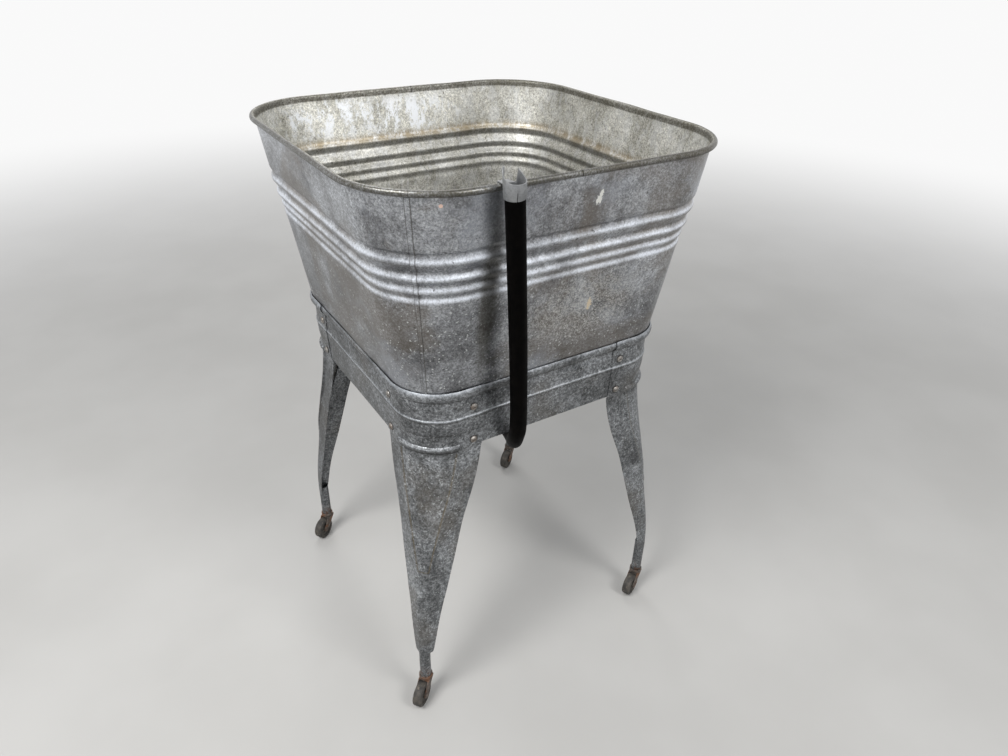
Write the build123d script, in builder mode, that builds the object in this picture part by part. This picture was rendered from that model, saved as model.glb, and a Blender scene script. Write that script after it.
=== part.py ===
from build123d import *
import math
import os

os.makedirs("parts", exist_ok=True)

# A galvanised washing tub on a sheet metal stand with four casters.
# The origin lies on the floor under the middle of the tub, Z is up and the hose hangs on
# the side that faces -Y.  Every section of the tub and of the stand's band is drawn as
# (half width, height) and runs round a square whose corners share four upright axes.

# Overall sizes
rim_half = 266.7
rim_corner = 121.7
corner_centre = rim_half - rim_corner
wheel_radius = 20.5

# Tub wall and rim
sheet = 0.8
wire_radius = 3.1
wire_clearance = 0.05
curl_end_angle = -115.0
rim_flare = 17.4
ribbed_taper = 15.1
side_taper = 21.5
foot_taper = 22.7
shoulder_half = rim_half - rim_flare
rib_foot_half = shoulder_half - ribbed_taper
knee_half = rib_foot_half - side_taper
wall_foot_half = knee_half - foot_taper
wall_foot_z = 488.0
foot_height = 72.0
side_height = 129.0
ribbed_height = 76.0
rim_height = 73.0
knee_z = wall_foot_z + foot_height
rib_foot_z = knee_z + side_height
shoulder_z = rib_foot_z + ribbed_height
tub_top = shoulder_z + rim_height
rib_depth = 6.0
rib_bend = 2.6
fold_bend = 1.0
wall_flange = 3.0
wall_clearance = 0.05

# Each rib as a valley and a crest: how far down the ribbed strip, and how far in or out
rib_shares = (
    (0.059, -0.53), (0.197, 0.43),
    (0.368, -0.55), (0.487, 0.39),
    (0.599, -0.55), (0.711, 0.12),
    (0.796, -0.48), (0.895, 0.07),
)

# Upright lap seams at the front and back corners
seam_angle = 230.0
seam_half_angle = 1.6
seam_top_gap = 1.0

# Tub bottom
floor_rise = 4.0
seam_overlap = 1.8

# Stand band
leg_sheet = 1.0
apron_sheet = 0.8
band_clearance = 0.1
bead_inset = 5.8
bead_drop = 8.1
bead_axis_half = knee_half - bead_inset
bead_axis_z = knee_z - bead_drop
leg_bead_radius = 9.9
leg_lip_angle = 43.0
leg_bead_foot_angle = -70.0
apron_bead_radius = 7.7
apron_lip_angle = 40.0
apron_bead_foot_angle = -74.0
band_step = 1.7
band_half = bead_axis_half + band_step
groove_depth = 0.8
groove_drop = 10.4
groove_height = 6.5
groove_top_z = bead_axis_z - groove_drop
groove_foot_z = groove_top_z - groove_height
groove_flank = 1.5
ridge_drop = 23.8
ridge_z = groove_foot_z - ridge_drop
ridge_depth = 1.0
ridge_flank = 2.2
band_taper = 1.7
band_foot_half = band_half - band_taper
skirt_height = 50.7
apron_foot_z = ridge_z - skirt_height
apron_setback = 7.0
apron_reach = corner_centre - apron_setback
leg_setback = 34.0
leg_reach = corner_centre - leg_setback

# Corner recess, shoulder and tapered channel of a leg
recess_drop = 23.2
recess_top_z = ridge_z - recess_drop
recess_depth = 0.85
recess_flank = 1.4
shoulder_drop = 0.5
shoulder_height = 5.0
shoulder_top_z = apron_foot_z - shoulder_drop
shoulder_foot_z = shoulder_top_z - shoulder_height
channel_step = 1.3
leg_splay = 23.4
channel_top_half = band_foot_half - channel_step
channel_foot_half = channel_top_half + leg_splay
channel_foot_bend = 9.0

# Height, spread of the two faces, face width and corner radius down the channel
channel_shares = (
    (1.000, 0.000, 1.000, 1.000),
    (0.843, 0.145, 0.906, 0.908),
    (0.671, 0.342, 0.720, 0.680),
    (0.500, 0.534, 0.592, 0.460),
    (0.357, 0.696, 0.480, 0.340),
    (0.229, 0.842, 0.366, 0.235),
    (0.129, 0.955, 0.282, 0.190),
    (0.063, 0.985, 0.212, 0.165),
    (0.000, 1.000, 0.137, 0.1485),
)

# Raised tapered panel on the nose of a leg
panel_rise = 6.5
panel_ledge_drop = 8.5
panel_top_z = apron_foot_z + panel_rise
panel_ledge_foot_z = panel_top_z - panel_ledge_drop
panel_ledge_height = 1.8
panel_height = 0.9
panel_root = 0.5
panel_top_angle = 38.0
panel_shares = (
    (1.000, 1.00),
    (0.843, 0.80),
    (0.671, 0.52),
    (0.500, 0.18),
    (0.457, 0.06),
)

# Rolled tube at the foot of a leg
leg_tube_radius = 8.75
caster_headroom = 2.0
collar_floor = 3.8
tube_height = 58.2
tube_overlap = 13.0
collar_foot_z = wheel_radius + wheel_radius + caster_headroom
leg_tube_foot_z = collar_foot_z + collar_floor
channel_foot_z = leg_tube_foot_z + tube_height
leg_tube_top_z = channel_foot_z + tube_overlap

# Leg screws and nuts
screw_setback = 20.0
screw_high_rise = 13.8
screw_low_rise = 10.5
screw_reach = corner_centre - screw_setback
screw_high_z = ridge_z + screw_high_rise
screw_low_z = apron_foot_z + screw_low_rise
screw_head_radius = 5.15
screw_head_height = 2.8
screw_edge = 0.7
screw_radius = 2.4
screw_hole_clearance = 0.2
screw_slot_width = 1.4
screw_slot_depth = 1.3
screw_tip = 0.6
nut_width = 8.0
nut_height = 2.4
seat_clearance = 0.02

# Caster socket
collar_radius = 10.8
collar_height = 7.0
socket_height = 35.0
collar_top_z = collar_foot_z + collar_height
socket_top_z = collar_foot_z + socket_height
press_clearance = 0.05

# Caster fork
stem_radius = 4.0
stem_clearance = 0.05
stem_gap = 2.0
stem_top_z = socket_top_z - stem_gap
stem_chamfer = 0.8
swivel_gap = 0.2
crown_thickness = 2.0
crown_reach = 9.0
crown_corner = 3.0
cheek_thickness = 1.6
cheek_boss_radius = 6.0
trail = 17.0

# Caster wheel and axle
wheel_width = 14.0
wheel_side_gap = 0.3
tread_round = 2.2
rim_step_radius = 14.5
hub_radius = 6.0
web_recess = 2.4
axle_radius = 2.5
axle_clearance = 0.05
rivet_head_radius = 4.2
rivet_head_height = 1.6
rivet_round = 0.9

# Directions in which the casters stand at rest, and the corner that each one is at
caster_angles = {"front": 217.0, "right": 203.0, "back": 213.0, "left": 214.0}
corner_signs = {"front": (-1, -1), "right": (1, -1), "back": (1, 1), "left": (-1, 1)}
corner_turns = {"front": 0.0, "right": 90.0, "back": 180.0, "left": 270.0}

# Drain
drain_bore = 14.0
spud_radius = 17.0
spud_length = 24.0
drain_flange_radius = 33.0
drain_flange_height = 2.5
drain_flange_round = 1.5
drain_clearance = 0.1
sump_margin = 0.5
sump_room = 2.5
sump_flank = 3.0
gasket_radius = 27.0
gasket_height = 3.0
locknut_radius = 24.0
locknut_height = 6.0
elbow_wall = 3.2
elbow_gap = 1.5
elbow_round = 6.0
outlet_reach = 50.0
tail_radius = 8.45
tail_wall = 1.8
tail_length = 26.0

# Hose: outer radius, bore and the points of its route from the hook to the drain
hose_radius = 11.5
hose_bore = 8.5
hose_top = (-116.8, -280.2, 836.0)
hose_knee = (-75.8, -248.4, 505.7)
hose_low_outer = (-69.9, -226.6, 458.1)
hose_low_inner = (-47.6, -194.0, 431.8)
hose_approach = (-28.7, -121.9, 424.0)
outlet_drop = 64.0
outlet_z = wall_foot_z - outlet_drop
hose_arc_share = 0.45

# Hose hook
hook_sheet = 1.2
hook_clearance = 0.05
hook_foot_drop = 9.0
hook_lip_rise = 8.0
hook_ear_rise = 22.0
hook_scoop_radius = 22.0
hook_notch_width = 16.0
hook_tab_width = 14.0
hook_gap = 0.3
hook_drop = 15.0
hook_joint_angle = 248.0
hook_joint_width = 0.8
hook_joint_height = 8.0

# Hose clamp
clamp_sheet = 0.8
clamp_width = 9.0
clamp_clearance = 0.05
clamp_setback = 7.0
clamp_lug = (12.0, 7.0)
clamp_lug_overlap = 0.5
clamp_screw_radius = 2.6
clamp_screw_length = 17.0

quarter = 90.0
overrun = 5.0


def write(piece, label):
    """Name a finished piece and write it under that name."""
    piece.part.label = label
    export_step(piece.part, f"parts/{label}.step")


def between(z, upper, lower):
    """Half width at height z on the straight line between two (half width, height) points."""
    share = (upper[1] - z) / (upper[1] - lower[1])
    return upper[0] + (lower[0] - upper[0]) * share


def corner_plane(sign_x, sign_y, angle):
    """Upright plane through a corner axis: local X points outward, local Y is height."""
    turn = math.radians(angle)
    return Plane(
        origin=(sign_x * corner_centre, sign_y * corner_centre, 0),
        x_dir=(math.cos(turn), math.sin(turn), 0),
        z_dir=(math.sin(turn), -math.cos(turn), 0),
    )


def corner_axis(sign_x, sign_y):
    return Axis((sign_x * corner_centre, sign_y * corner_centre, 0), (0, 0, 1))


def outward(points):
    """Move (half width, height) points into the local frame of a corner plane."""
    return [(half - corner_centre, z) for half, z in points]


# The four sides in the order in which they are met: corner signs and the angle of its first face
corner_run = ((-1, -1, 180.0), (1, -1, 270.0), (1, 1, 0.0), (-1, 1, 90.0))

# Tub wall section

curl_inner = wire_radius + wire_clearance
curl_outer = curl_inner + sheet
curl_half = rim_half - curl_outer
curl_z = tub_top - curl_outer
wall_tilt = math.atan((curl_half - curl_inner - shoulder_half) / (curl_z - shoulder_z))
wall_top = (curl_half - curl_inner * math.cos(wall_tilt), curl_z - curl_inner * math.sin(wall_tilt))
wall_top_inner = (
    curl_half - curl_outer * math.cos(wall_tilt),
    curl_z - curl_outer * math.sin(wall_tilt),
)


def wall_bends(step):
    """Bends of the wall's outer face, moved inward by a step, from the shoulder to the knee."""
    points = [(shoulder_half - step, shoulder_z)]
    for down_share, out_share in rib_shares:
        z = shoulder_z + (rib_foot_z - shoulder_z) * down_share
        half = between(z, (shoulder_half, shoulder_z), (rib_foot_half, rib_foot_z))
        points.append((half + rib_depth * out_share - step, z))
    points.append((rib_foot_half - step, rib_foot_z))
    points.append((knee_half - step, knee_z))
    return points


def wall_face(plane):
    """Thin section of the wall: rolled rim, four ribs, taper and the turned-out foot."""
    bends = len(wall_bends(0))
    flange_half = wall_foot_half + wall_flange
    outer = [wall_top] + wall_bends(0)
    outer += [(wall_foot_half, wall_foot_z + sheet), (flange_half, wall_foot_z + sheet)]
    inner = [wall_top_inner] + wall_bends(sheet)
    inner += [(wall_foot_half - sheet, wall_foot_z), (flange_half, wall_foot_z)]
    with BuildSketch(plane) as face:
        with BuildLine():
            out_line = FilletPolyline(*outward(outer), radius=[rib_bend] * bends + [fold_bend])
            in_line = FilletPolyline(
                *outward(inner), radius=[rib_bend] * bends + [fold_bend + sheet]
            )
            Line(out_line @ 0, in_line @ 0)
            Line(out_line @ 1, in_line @ 1)
        make_face()
        curl_start = 180.0 + math.degrees(wall_tilt)
        curl_size = curl_end_angle - curl_start
        with BuildLine():
            centre = (curl_half - corner_centre, curl_z)
            big = CenterArc(centre, curl_outer, curl_start, curl_size)
            small = CenterArc(centre, curl_inner, curl_start, curl_size)
            Line(big @ 0, small @ 0)
            Line(big @ 1, small @ 1)
        make_face()
    return face.sketch


def lap_face(plane):
    """Section of the strip that laps over the seam, one sheet outside the wall."""
    top_z = curl_z - curl_outer - seam_top_gap
    foot_z = wall_foot_z + floor_rise
    top_half = between(top_z, wall_top, (shoulder_half, shoulder_z))
    foot_half = between(foot_z, (knee_half, knee_z), (wall_foot_half, wall_foot_z + sheet))
    inner = [(top_half, top_z)] + wall_bends(0) + [(foot_half, foot_z)]
    outer = [(half + sheet, z) for half, z in inner]
    with BuildSketch(plane) as face:
        with BuildLine():
            in_line = FilletPolyline(*outward(inner), radius=[rib_bend] * (len(inner) - 2))
            out_line = FilletPolyline(*outward(outer), radius=[rib_bend] * (len(inner) - 2))
            Line(out_line @ 0, in_line @ 0)
            Line(out_line @ 1, in_line @ 1)
        make_face()
    return face.sketch


# Tub wall, left half: from the front seam round the left corner to the back seam

back_seam_angle = seam_angle - 180.0

with BuildPart() as wall_left:
    front_axis = corner_axis(-1, -1)
    revolve(wall_face(corner_plane(-1, -1, 180.0)), front_axis, seam_angle - 180.0)
    extrude(wall_face(corner_plane(-1, -1, 180.0)), amount=corner_centre + corner_centre)
    revolve(wall_face(corner_plane(-1, 1, quarter)), corner_axis(-1, 1), quarter)
    extrude(wall_face(corner_plane(-1, 1, quarter)), amount=corner_centre + corner_centre)
    back_start = corner_plane(1, 1, back_seam_angle)
    revolve(wall_face(back_start), corner_axis(1, 1), quarter - back_seam_angle)
write(wall_left, "tub_wall_left")

# Tub wall, right half, with the two lap strips

with BuildPart() as wall_right:
    revolve(wall_face(corner_plane(-1, -1, seam_angle)), corner_axis(-1, -1), 270.0 - seam_angle)
    revolve(wall_face(corner_plane(1, -1, 270.0)), corner_axis(1, -1), quarter)
    extrude(wall_face(corner_plane(1, -1, 270.0)), amount=corner_centre + corner_centre)
    revolve(wall_face(corner_plane(1, 1, 0)), corner_axis(1, 1), back_seam_angle)
    extrude(wall_face(corner_plane(1, 1, 0)), amount=corner_centre + corner_centre)
    for sign, seam in ((-1, seam_angle), (1, back_seam_angle)):
        start_plane = corner_plane(sign, sign, seam - seam_half_angle)
        revolve(lap_face(start_plane), corner_axis(sign, sign), seam_half_angle + seam_half_angle)
write(wall_right, "tub_wall_right")

# Rim wire inside the curl

with BuildPart() as rim_wire:
    for sign_x, sign_y, angle in corner_run:
        side_plane = corner_plane(sign_x, sign_y, angle)
        with BuildSketch(side_plane) as wire_section:
            with Locations((curl_half - corner_centre, curl_z)):
                Circle(wire_radius)
        revolve(axis=corner_axis(sign_x, sign_y), revolution_arc=quarter)
        extrude(wire_section.sketch, amount=corner_centre + corner_centre)
write(rim_wire, "rim_wire")

# Tub bottom: raised floor, skirt inside the wall and a seam folded over the wall's flange;
# round the drain the floor is pressed down, so that the drain's flange lies below it

floor_z = wall_foot_z + floor_rise
floor_top_z = floor_z + sheet
drain_hole = spud_radius + drain_clearance
sump_depth = drain_flange_height + sump_margin
sump_top_z = floor_top_z - sump_depth
sump_z = sump_top_z - sheet
sump_radius = drain_flange_radius + sump_room
sump_edge = sump_radius + sump_flank
flank_shift = sheet * math.tan(math.atan2(sump_depth, sump_flank) / 2)
wall_foot_inner = (wall_foot_half - sheet, wall_foot_z)
knee_inner = (knee_half - sheet, knee_z)


def skirt_half(z):
    return between(z, knee_inner, wall_foot_inner) - wall_clearance


seam_half = wall_foot_half + wall_flange + wall_clearance
seam_points = [
    (skirt_half(floor_top_z), floor_top_z),
    (skirt_half(wall_foot_z), wall_foot_z),
    (seam_half, wall_foot_z),
    (seam_half, wall_foot_z + sheet),
    (seam_half - seam_overlap, wall_foot_z + sheet),
    (seam_half - seam_overlap, wall_foot_z + sheet + sheet),
    (seam_half + sheet, wall_foot_z + sheet + sheet),
    (seam_half + sheet, wall_foot_z - sheet),
    (skirt_half(wall_foot_z) - sheet, wall_foot_z - sheet),
    (skirt_half(floor_top_z) - sheet, floor_top_z),
]

with BuildPart() as tub_bottom:
    for sign_x, sign_y, angle in corner_run:
        with BuildSketch(corner_plane(sign_x, sign_y, angle)) as fold_section:
            with BuildLine():
                Polyline(*outward(seam_points), close=True)
            make_face()
        revolve(axis=corner_axis(sign_x, sign_y), revolution_arc=quarter)
        extrude(fold_section.sketch, amount=corner_centre + corner_centre)
    floor_half = skirt_half(floor_z)
    with BuildSketch(Plane.XY.offset(floor_z)):
        RectangleRounded(
            floor_half + floor_half, floor_half + floor_half, floor_half - corner_centre
        )
        Circle(sump_edge + sump_flank, mode=Mode.SUBTRACT)
    extrude(amount=sheet)
    with BuildSketch(Plane.XZ):
        with BuildLine():
            Polyline(
                (drain_hole, sump_z),
                (drain_hole, sump_top_z),
                (sump_radius, sump_top_z),
                (sump_edge, floor_top_z),
                (sump_edge + sump_flank, floor_top_z),
                (sump_edge + sump_flank, floor_z),
                (sump_edge + flank_shift, floor_z),
                (sump_radius + flank_shift, sump_z),
                close=True,
            )
        make_face()
    revolve(axis=Axis.Z)
write(tub_bottom, "tub_bottom")

# Stand band: one outline for the apron strips; the legs lie over it with their own sheet


def bead_point(radius, angle):
    turn = math.radians(angle)
    return (bead_axis_half + radius * math.cos(turn), bead_axis_z + radius * math.sin(turn))


def bead_sector(radius, wall, lip_angle, foot_angle):
    """Rolled bead at the top of the band, drawn into the sketch that is open."""
    centre = (bead_axis_half - corner_centre, bead_axis_z)
    with BuildSketch(mode=Mode.PRIVATE) as bead:
        with BuildLine():
            big = CenterArc(centre, radius, lip_angle, foot_angle - lip_angle)
            small = CenterArc(centre, radius - wall, lip_angle, foot_angle - lip_angle)
            Line(big @ 0, small @ 0)
            Line(big @ 1, small @ 1)
        make_face()
    return bead.sketch


def band_outline(step, with_groove):
    """Outer face of the band below the bead, moved outward by a step."""
    points = [(band_half + step, groove_top_z)]
    if with_groove:
        points += [
            (band_half - groove_depth + step, groove_top_z - groove_flank),
            (band_half - groove_depth + step, groove_foot_z + groove_flank),
            (band_half + step, groove_foot_z),
        ]
    points += [
        (band_half + step, ridge_z + ridge_flank),
        (band_half + ridge_depth + step, ridge_z),
    ]
    return points


ridge_point = (band_half + ridge_depth, ridge_z)
band_foot = (band_foot_half, apron_foot_z)


def band_line(z):
    """Half width of the apron's outer face below the ridge."""
    return between(z, ridge_point, band_foot)


def thin_face(bead_radius, foot_angle, outer, wall):
    """Closed outline of the band's sheet from the foot of its bead down."""
    start = [bead_point(bead_radius, foot_angle)]
    end = [bead_point(bead_radius - wall, foot_angle)]
    return start + outer + [(half - wall, z) for half, z in reversed(outer)] + end


# Aprons, one strip for each side

apron_bead = (apron_bead_radius, apron_bead_foot_angle)
apron_outer = band_outline(0, True) + [band_foot]

with BuildPart() as apron:
    apron_plane = Plane(
        origin=(-apron_reach, -corner_centre, 0), x_dir=(0, -1, 0), z_dir=(-1, 0, 0)
    )
    with BuildSketch(apron_plane) as apron_section:
        with BuildLine():
            Polyline(*outward(thin_face(*apron_bead, apron_outer, apron_sheet)), close=True)
        make_face()
        add(bead_sector(apron_bead_radius, apron_sheet, apron_lip_angle, apron_bead_foot_angle))
    extrude(amount=-apron_reach - apron_reach)
    for side in (-1, 1):
        for screw_z in (screw_high_z, screw_low_z):
            hole_plane = Plane(origin=(side * screw_reach, 0, screw_z), z_dir=(0, -1, 0))
            with BuildSketch(hole_plane):
                Circle(screw_radius + screw_hole_clearance)
            extrude(amount=rim_half, mode=Mode.SUBTRACT)

apron_turns = {"hose_side": 0.0, "right": 90.0, "back": 180.0, "left": 270.0}
for side_name, turn_angle in apron_turns.items():
    with BuildPart() as placed_apron:
        add(apron.part.rotate(Axis.Z, turn_angle))
    write(placed_apron, f"apron_{side_name}")

# Leg at the front corner

leg_step = band_clearance + leg_sheet
leg_bead = (leg_bead_radius, leg_bead_foot_angle)
shoulder_half_top = band_line(shoulder_top_z) + leg_step
leg_face = band_outline(leg_step, False)
leg_face += [(shoulder_half_top, shoulder_top_z), (channel_top_half, shoulder_foot_z)]

recess_top_half = band_line(recess_top_z) + leg_step
recess_foot_z = recess_top_z - recess_flank
recess_foot_half = band_line(recess_foot_z) + leg_step - recess_depth
recess_end_half = band_line(panel_top_z) + leg_step - recess_depth
leg_corner_face = band_outline(leg_step, False)
leg_corner_face += [
    (recess_top_half, recess_top_z),
    (recess_foot_half, recess_foot_z),
    (recess_end_half, panel_top_z),
    (shoulder_half_top, shoulder_top_z),
    (channel_top_half, shoulder_foot_z),
]

channel_height = shoulder_foot_z - channel_foot_z
channel_width = channel_top_half - leg_reach
channel_bend = channel_top_half - corner_centre


def channel_sizes(rise_share, spread_share, width_share, bend_share):
    """Height, half width, end of the face and corner radius of one channel section."""
    z = channel_foot_z + channel_height * rise_share
    half = channel_top_half + (channel_foot_half - channel_top_half) * spread_share
    return z, half, half - channel_width * width_share, channel_bend * bend_share


def channel_section(row):
    """Quarter-round corner with two flat faces, open towards the middle of the stand."""
    z, half, end, bend = channel_sizes(*row)
    centre = (bend - half, bend - half)
    with BuildSketch(Plane.XY.offset(z)) as section:
        with BuildLine():
            big = CenterArc(centre, bend, 180.0, quarter)
            small = CenterArc(centre, bend - leg_sheet, 180.0, quarter)
            Line(big @ 0, (-half, -end))
            Line((-half, -end), (leg_sheet - half, -end))
            Line((leg_sheet - half, -end), small @ 0)
            Line(big @ 1, (-end, -half))
            Line((-end, -half), (-end, leg_sheet - half))
            Line((-end, leg_sheet - half), small @ 1)
        make_face()
    return section.sketch


def panel_section(row):
    """Arc-shaped slice of the raised panel, rooted in the leg's sheet."""
    rise_share, angle_share = row
    rows = sorted(channel_shares)
    upper = next(item for item in rows if item[0] >= rise_share)
    lower = [item for item in rows if item[0] <= rise_share][-1]
    if upper[0] == lower[0]:
        mixed = upper
    else:
        mix = (rise_share - lower[0]) / (upper[0] - lower[0])
        mixed = tuple(a + (b - a) * mix for a, b in zip(lower, upper))
    z, half, end, bend = channel_sizes(*mixed)
    centre = (bend - half, bend - half)
    spread = panel_top_angle * angle_share
    with BuildSketch(Plane.XY.offset(z)) as section:
        with BuildLine():
            big = CenterArc(centre, bend + panel_height, 225.0 - spread, spread + spread)
            small = CenterArc(centre, bend - panel_root, 225.0 - spread, spread + spread)
            Line(big @ 0, small @ 0)
            Line(big @ 1, small @ 1)
        make_face()
    return section.sketch


ledge_points = [
    (band_line(panel_top_z) + leg_step - recess_depth - panel_root, panel_top_z),
    (band_line(panel_top_z) + leg_step + panel_ledge_height, panel_top_z),
    (band_line(panel_top_z) + leg_step + panel_ledge_height - panel_root, panel_ledge_foot_z),
    (channel_top_half + panel_height, shoulder_foot_z),
    (channel_top_half - panel_root, shoulder_foot_z),
    (shoulder_half_top - panel_root, shoulder_top_z),
]

tube_centre = channel_foot_half - channel_foot_bend

with BuildPart() as leg:
    # Band: a quarter turn round the corner axis and a flat flange on either side
    with BuildSketch(corner_plane(-1, -1, 180.0)):
        with BuildLine():
            Polyline(*outward(thin_face(*leg_bead, leg_corner_face, leg_sheet)), close=True)
        make_face()
        add(bead_sector(leg_bead_radius, leg_sheet, leg_lip_angle, leg_bead_foot_angle))
    revolve(axis=corner_axis(-1, -1), revolution_arc=quarter)
    for angle, length in ((180.0, corner_centre - leg_reach), (270.0, leg_reach - corner_centre)):
        with BuildSketch(corner_plane(-1, -1, angle)):
            with BuildLine():
                Polyline(*outward(thin_face(*leg_bead, leg_face, leg_sheet)), close=True)
            make_face()
            add(bead_sector(leg_bead_radius, leg_sheet, leg_lip_angle, leg_bead_foot_angle))
        extrude(amount=length)
    # Tapered channel down to the rolled tube
    loft([channel_section(row) for row in channel_shares])
    # Raised bare panel on the nose, with its ledge
    loft([panel_section(row) for row in panel_shares])
    with BuildSketch(corner_plane(-1, -1, 225.0 - panel_top_angle)):
        with BuildLine():
            Polyline(*outward(ledge_points), close=True)
        make_face()
    revolve(axis=corner_axis(-1, -1), revolution_arc=panel_top_angle + panel_top_angle)
    with BuildSketch(Plane(origin=(-tube_centre, -tube_centre, leg_tube_foot_z))):
        Circle(leg_tube_radius)
        Circle(leg_tube_radius - leg_sheet, mode=Mode.SUBTRACT)
    extrude(amount=leg_tube_top_z - leg_tube_foot_z)
    for screw_z in (screw_high_z, screw_low_z):
        for origin, normal in (
            ((-screw_reach, -corner_centre, screw_z), (0, -1, 0)),
            ((-corner_centre, -screw_reach, screw_z), (-1, 0, 0)),
        ):
            with BuildSketch(Plane(origin=origin, z_dir=normal)):
                Circle(screw_radius + screw_hole_clearance)
            extrude(amount=corner_centre, mode=Mode.SUBTRACT)

for corner_name, turn_angle in corner_turns.items():
    with BuildPart() as placed_leg:
        add(leg.part.rotate(Axis.Z, turn_angle))
    write(placed_leg, f"leg_{corner_name}")

# Slotted round-head screws and their square nuts, four of each in one leg

leg_grip = leg_sheet + band_clearance + apron_sheet


def seat_half(z):
    """Half width of the leg's outer face where a screw head rests."""
    if z > ridge_z + ridge_flank:
        return band_half + leg_step
    return band_line(z - screw_head_radius) + leg_step


def screw_seats():
    """Seats of a leg's four screws, each with its normal outward."""
    seats = []
    for z in (screw_high_z, screw_low_z):
        half = max(seat_half(z), seat_half(z + screw_head_radius)) + seat_clearance
        if z < ridge_z:
            half = band_line(z + screw_head_radius) + leg_step + seat_clearance
        seats.append(Plane(origin=(-screw_reach, -half, z), x_dir=(1, 0, 0), z_dir=(0, -1, 0)))
        seats.append(Plane(origin=(-half, -screw_reach, z), x_dir=(0, -1, 0), z_dir=(-1, 0, 0)))
    return seats


screw_slope = (ridge_point[0] - band_foot[0]) / (ridge_z - apron_foot_z)
nut_seat = leg_grip + seat_clearance + seat_clearance + screw_slope * (screw_head_radius + nut_width / 2)

with BuildPart() as screw:
    with BuildSketch(Plane.XZ):
        with BuildLine():
            edge_top = (screw_head_radius, screw_edge)
            Line((0, 0), (screw_head_radius, 0))
            Line((screw_head_radius, 0), edge_top)
            dome = ThreePointArc(
                edge_top,
                (screw_head_radius * math.cos(math.radians(quarter / 2)),
                 screw_edge + (screw_head_height - screw_edge) * math.sin(math.radians(quarter / 2))),
                (0, screw_head_height),
            )
            Line((0, screw_head_height), (0, 0))
        make_face()
    revolve(axis=Axis.Z)
    with BuildSketch(Plane.XY):
        Circle(screw_radius)
    extrude(amount=-nut_seat - nut_height - screw_tip)
    with BuildSketch(Plane.XY.offset(screw_head_height - screw_slot_depth)):
        Rectangle(screw_head_radius + screw_head_radius, screw_slot_width)
    extrude(amount=overrun, mode=Mode.SUBTRACT)

with BuildPart() as nut:
    with BuildSketch(Plane.XY.offset(-nut_seat)):
        Rectangle(nut_width, nut_width)
        Circle(screw_radius + seat_clearance, mode=Mode.SUBTRACT)
    extrude(amount=-nut_height)

for corner_name, turn_angle in corner_turns.items():
    with BuildPart() as leg_screws:
        for seat in screw_seats():
            add(screw.part.moved(seat.location).rotate(Axis.Z, turn_angle))
    write(leg_screws, f"screws_{corner_name}")
    with BuildPart() as leg_nuts:
        for seat in screw_seats():
            add(nut.part.moved(seat.location).rotate(Axis.Z, turn_angle))
    write(leg_nuts, f"nuts_{corner_name}")

# Caster, drawn with its stem on the Z axis and its trail along +X

socket_bore = stem_radius + stem_clearance
socket_radius = leg_tube_radius - leg_sheet - press_clearance
collar_bore = leg_tube_radius + press_clearance

with BuildPart() as socket:
    with BuildSketch(Plane.XZ):
        with BuildLine():
            Polyline(
                (socket_bore, collar_foot_z),
                (collar_radius, collar_foot_z),
                (collar_radius, collar_top_z),
                (collar_bore, collar_top_z),
                (collar_bore, leg_tube_foot_z),
                (socket_radius, leg_tube_foot_z),
                (socket_radius, socket_top_z),
                (socket_bore, socket_top_z),
                close=True,
            )
        make_face()
    revolve(axis=Axis.Z)

axle_z = wheel_radius
crown_top_z = collar_foot_z - swivel_gap
crown_foot_z = crown_top_z - crown_thickness
cheek_inner = wheel_width / 2 + wheel_side_gap
cheek_outer = cheek_inner + cheek_thickness

with BuildPart() as fork:
    for near_side in (cheek_inner, -cheek_outer):
        with BuildSketch(Plane.XZ.offset(near_side)):
            with Locations((0, crown_top_z - crown_thickness / 2)):
                Rectangle(crown_reach + crown_reach, crown_thickness)
            with Locations((trail, axle_z)):
                Circle(cheek_boss_radius)
            make_hull()
        extrude(amount=cheek_thickness)
    with BuildSketch(Plane.XY.offset(crown_foot_z)):
        RectangleRounded(crown_reach + crown_reach, cheek_outer + cheek_outer, crown_corner)
        with Locations((0, 0)):
            Rectangle(crown_reach + crown_reach, cheek_inner + cheek_inner)
    extrude(amount=crown_thickness)
    with BuildSketch(Plane.XY.offset(crown_foot_z)):
        Circle(stem_radius)
    extrude(amount=stem_top_z - crown_foot_z)
    chamfer(fork.edges().group_by(Axis.Z)[-1], stem_chamfer)
    with BuildSketch(Plane.XZ.offset(-cheek_outer - overrun)):
        with Locations((trail, axle_z)):
            Circle(axle_radius + seat_clearance)
    extrude(amount=cheek_outer + cheek_outer + overrun + overrun, mode=Mode.SUBTRACT)

axle_axis = Axis((trail, 0, axle_z), (0, 1, 0))
wheel_half = wheel_width / 2

with BuildPart() as wheel:
    with BuildSketch(Plane(origin=(trail, 0, axle_z))) as wheel_profile:
        with BuildLine():
            Polyline(
                (axle_radius + axle_clearance, -wheel_half),
                (hub_radius, -wheel_half),
                (hub_radius, web_recess - wheel_half),
                (rim_step_radius, web_recess - wheel_half),
                (rim_step_radius, -wheel_half),
                (wheel_radius, -wheel_half),
                (wheel_radius, wheel_half),
                (rim_step_radius, wheel_half),
                (rim_step_radius, wheel_half - web_recess),
                (hub_radius, wheel_half - web_recess),
                (hub_radius, wheel_half),
                (axle_radius + axle_clearance, wheel_half),
                close=True,
            )
        make_face()
        fillet(wheel_profile.vertices().group_by(Axis.X)[-1], tread_round)
    revolve(axis=axle_axis)

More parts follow.
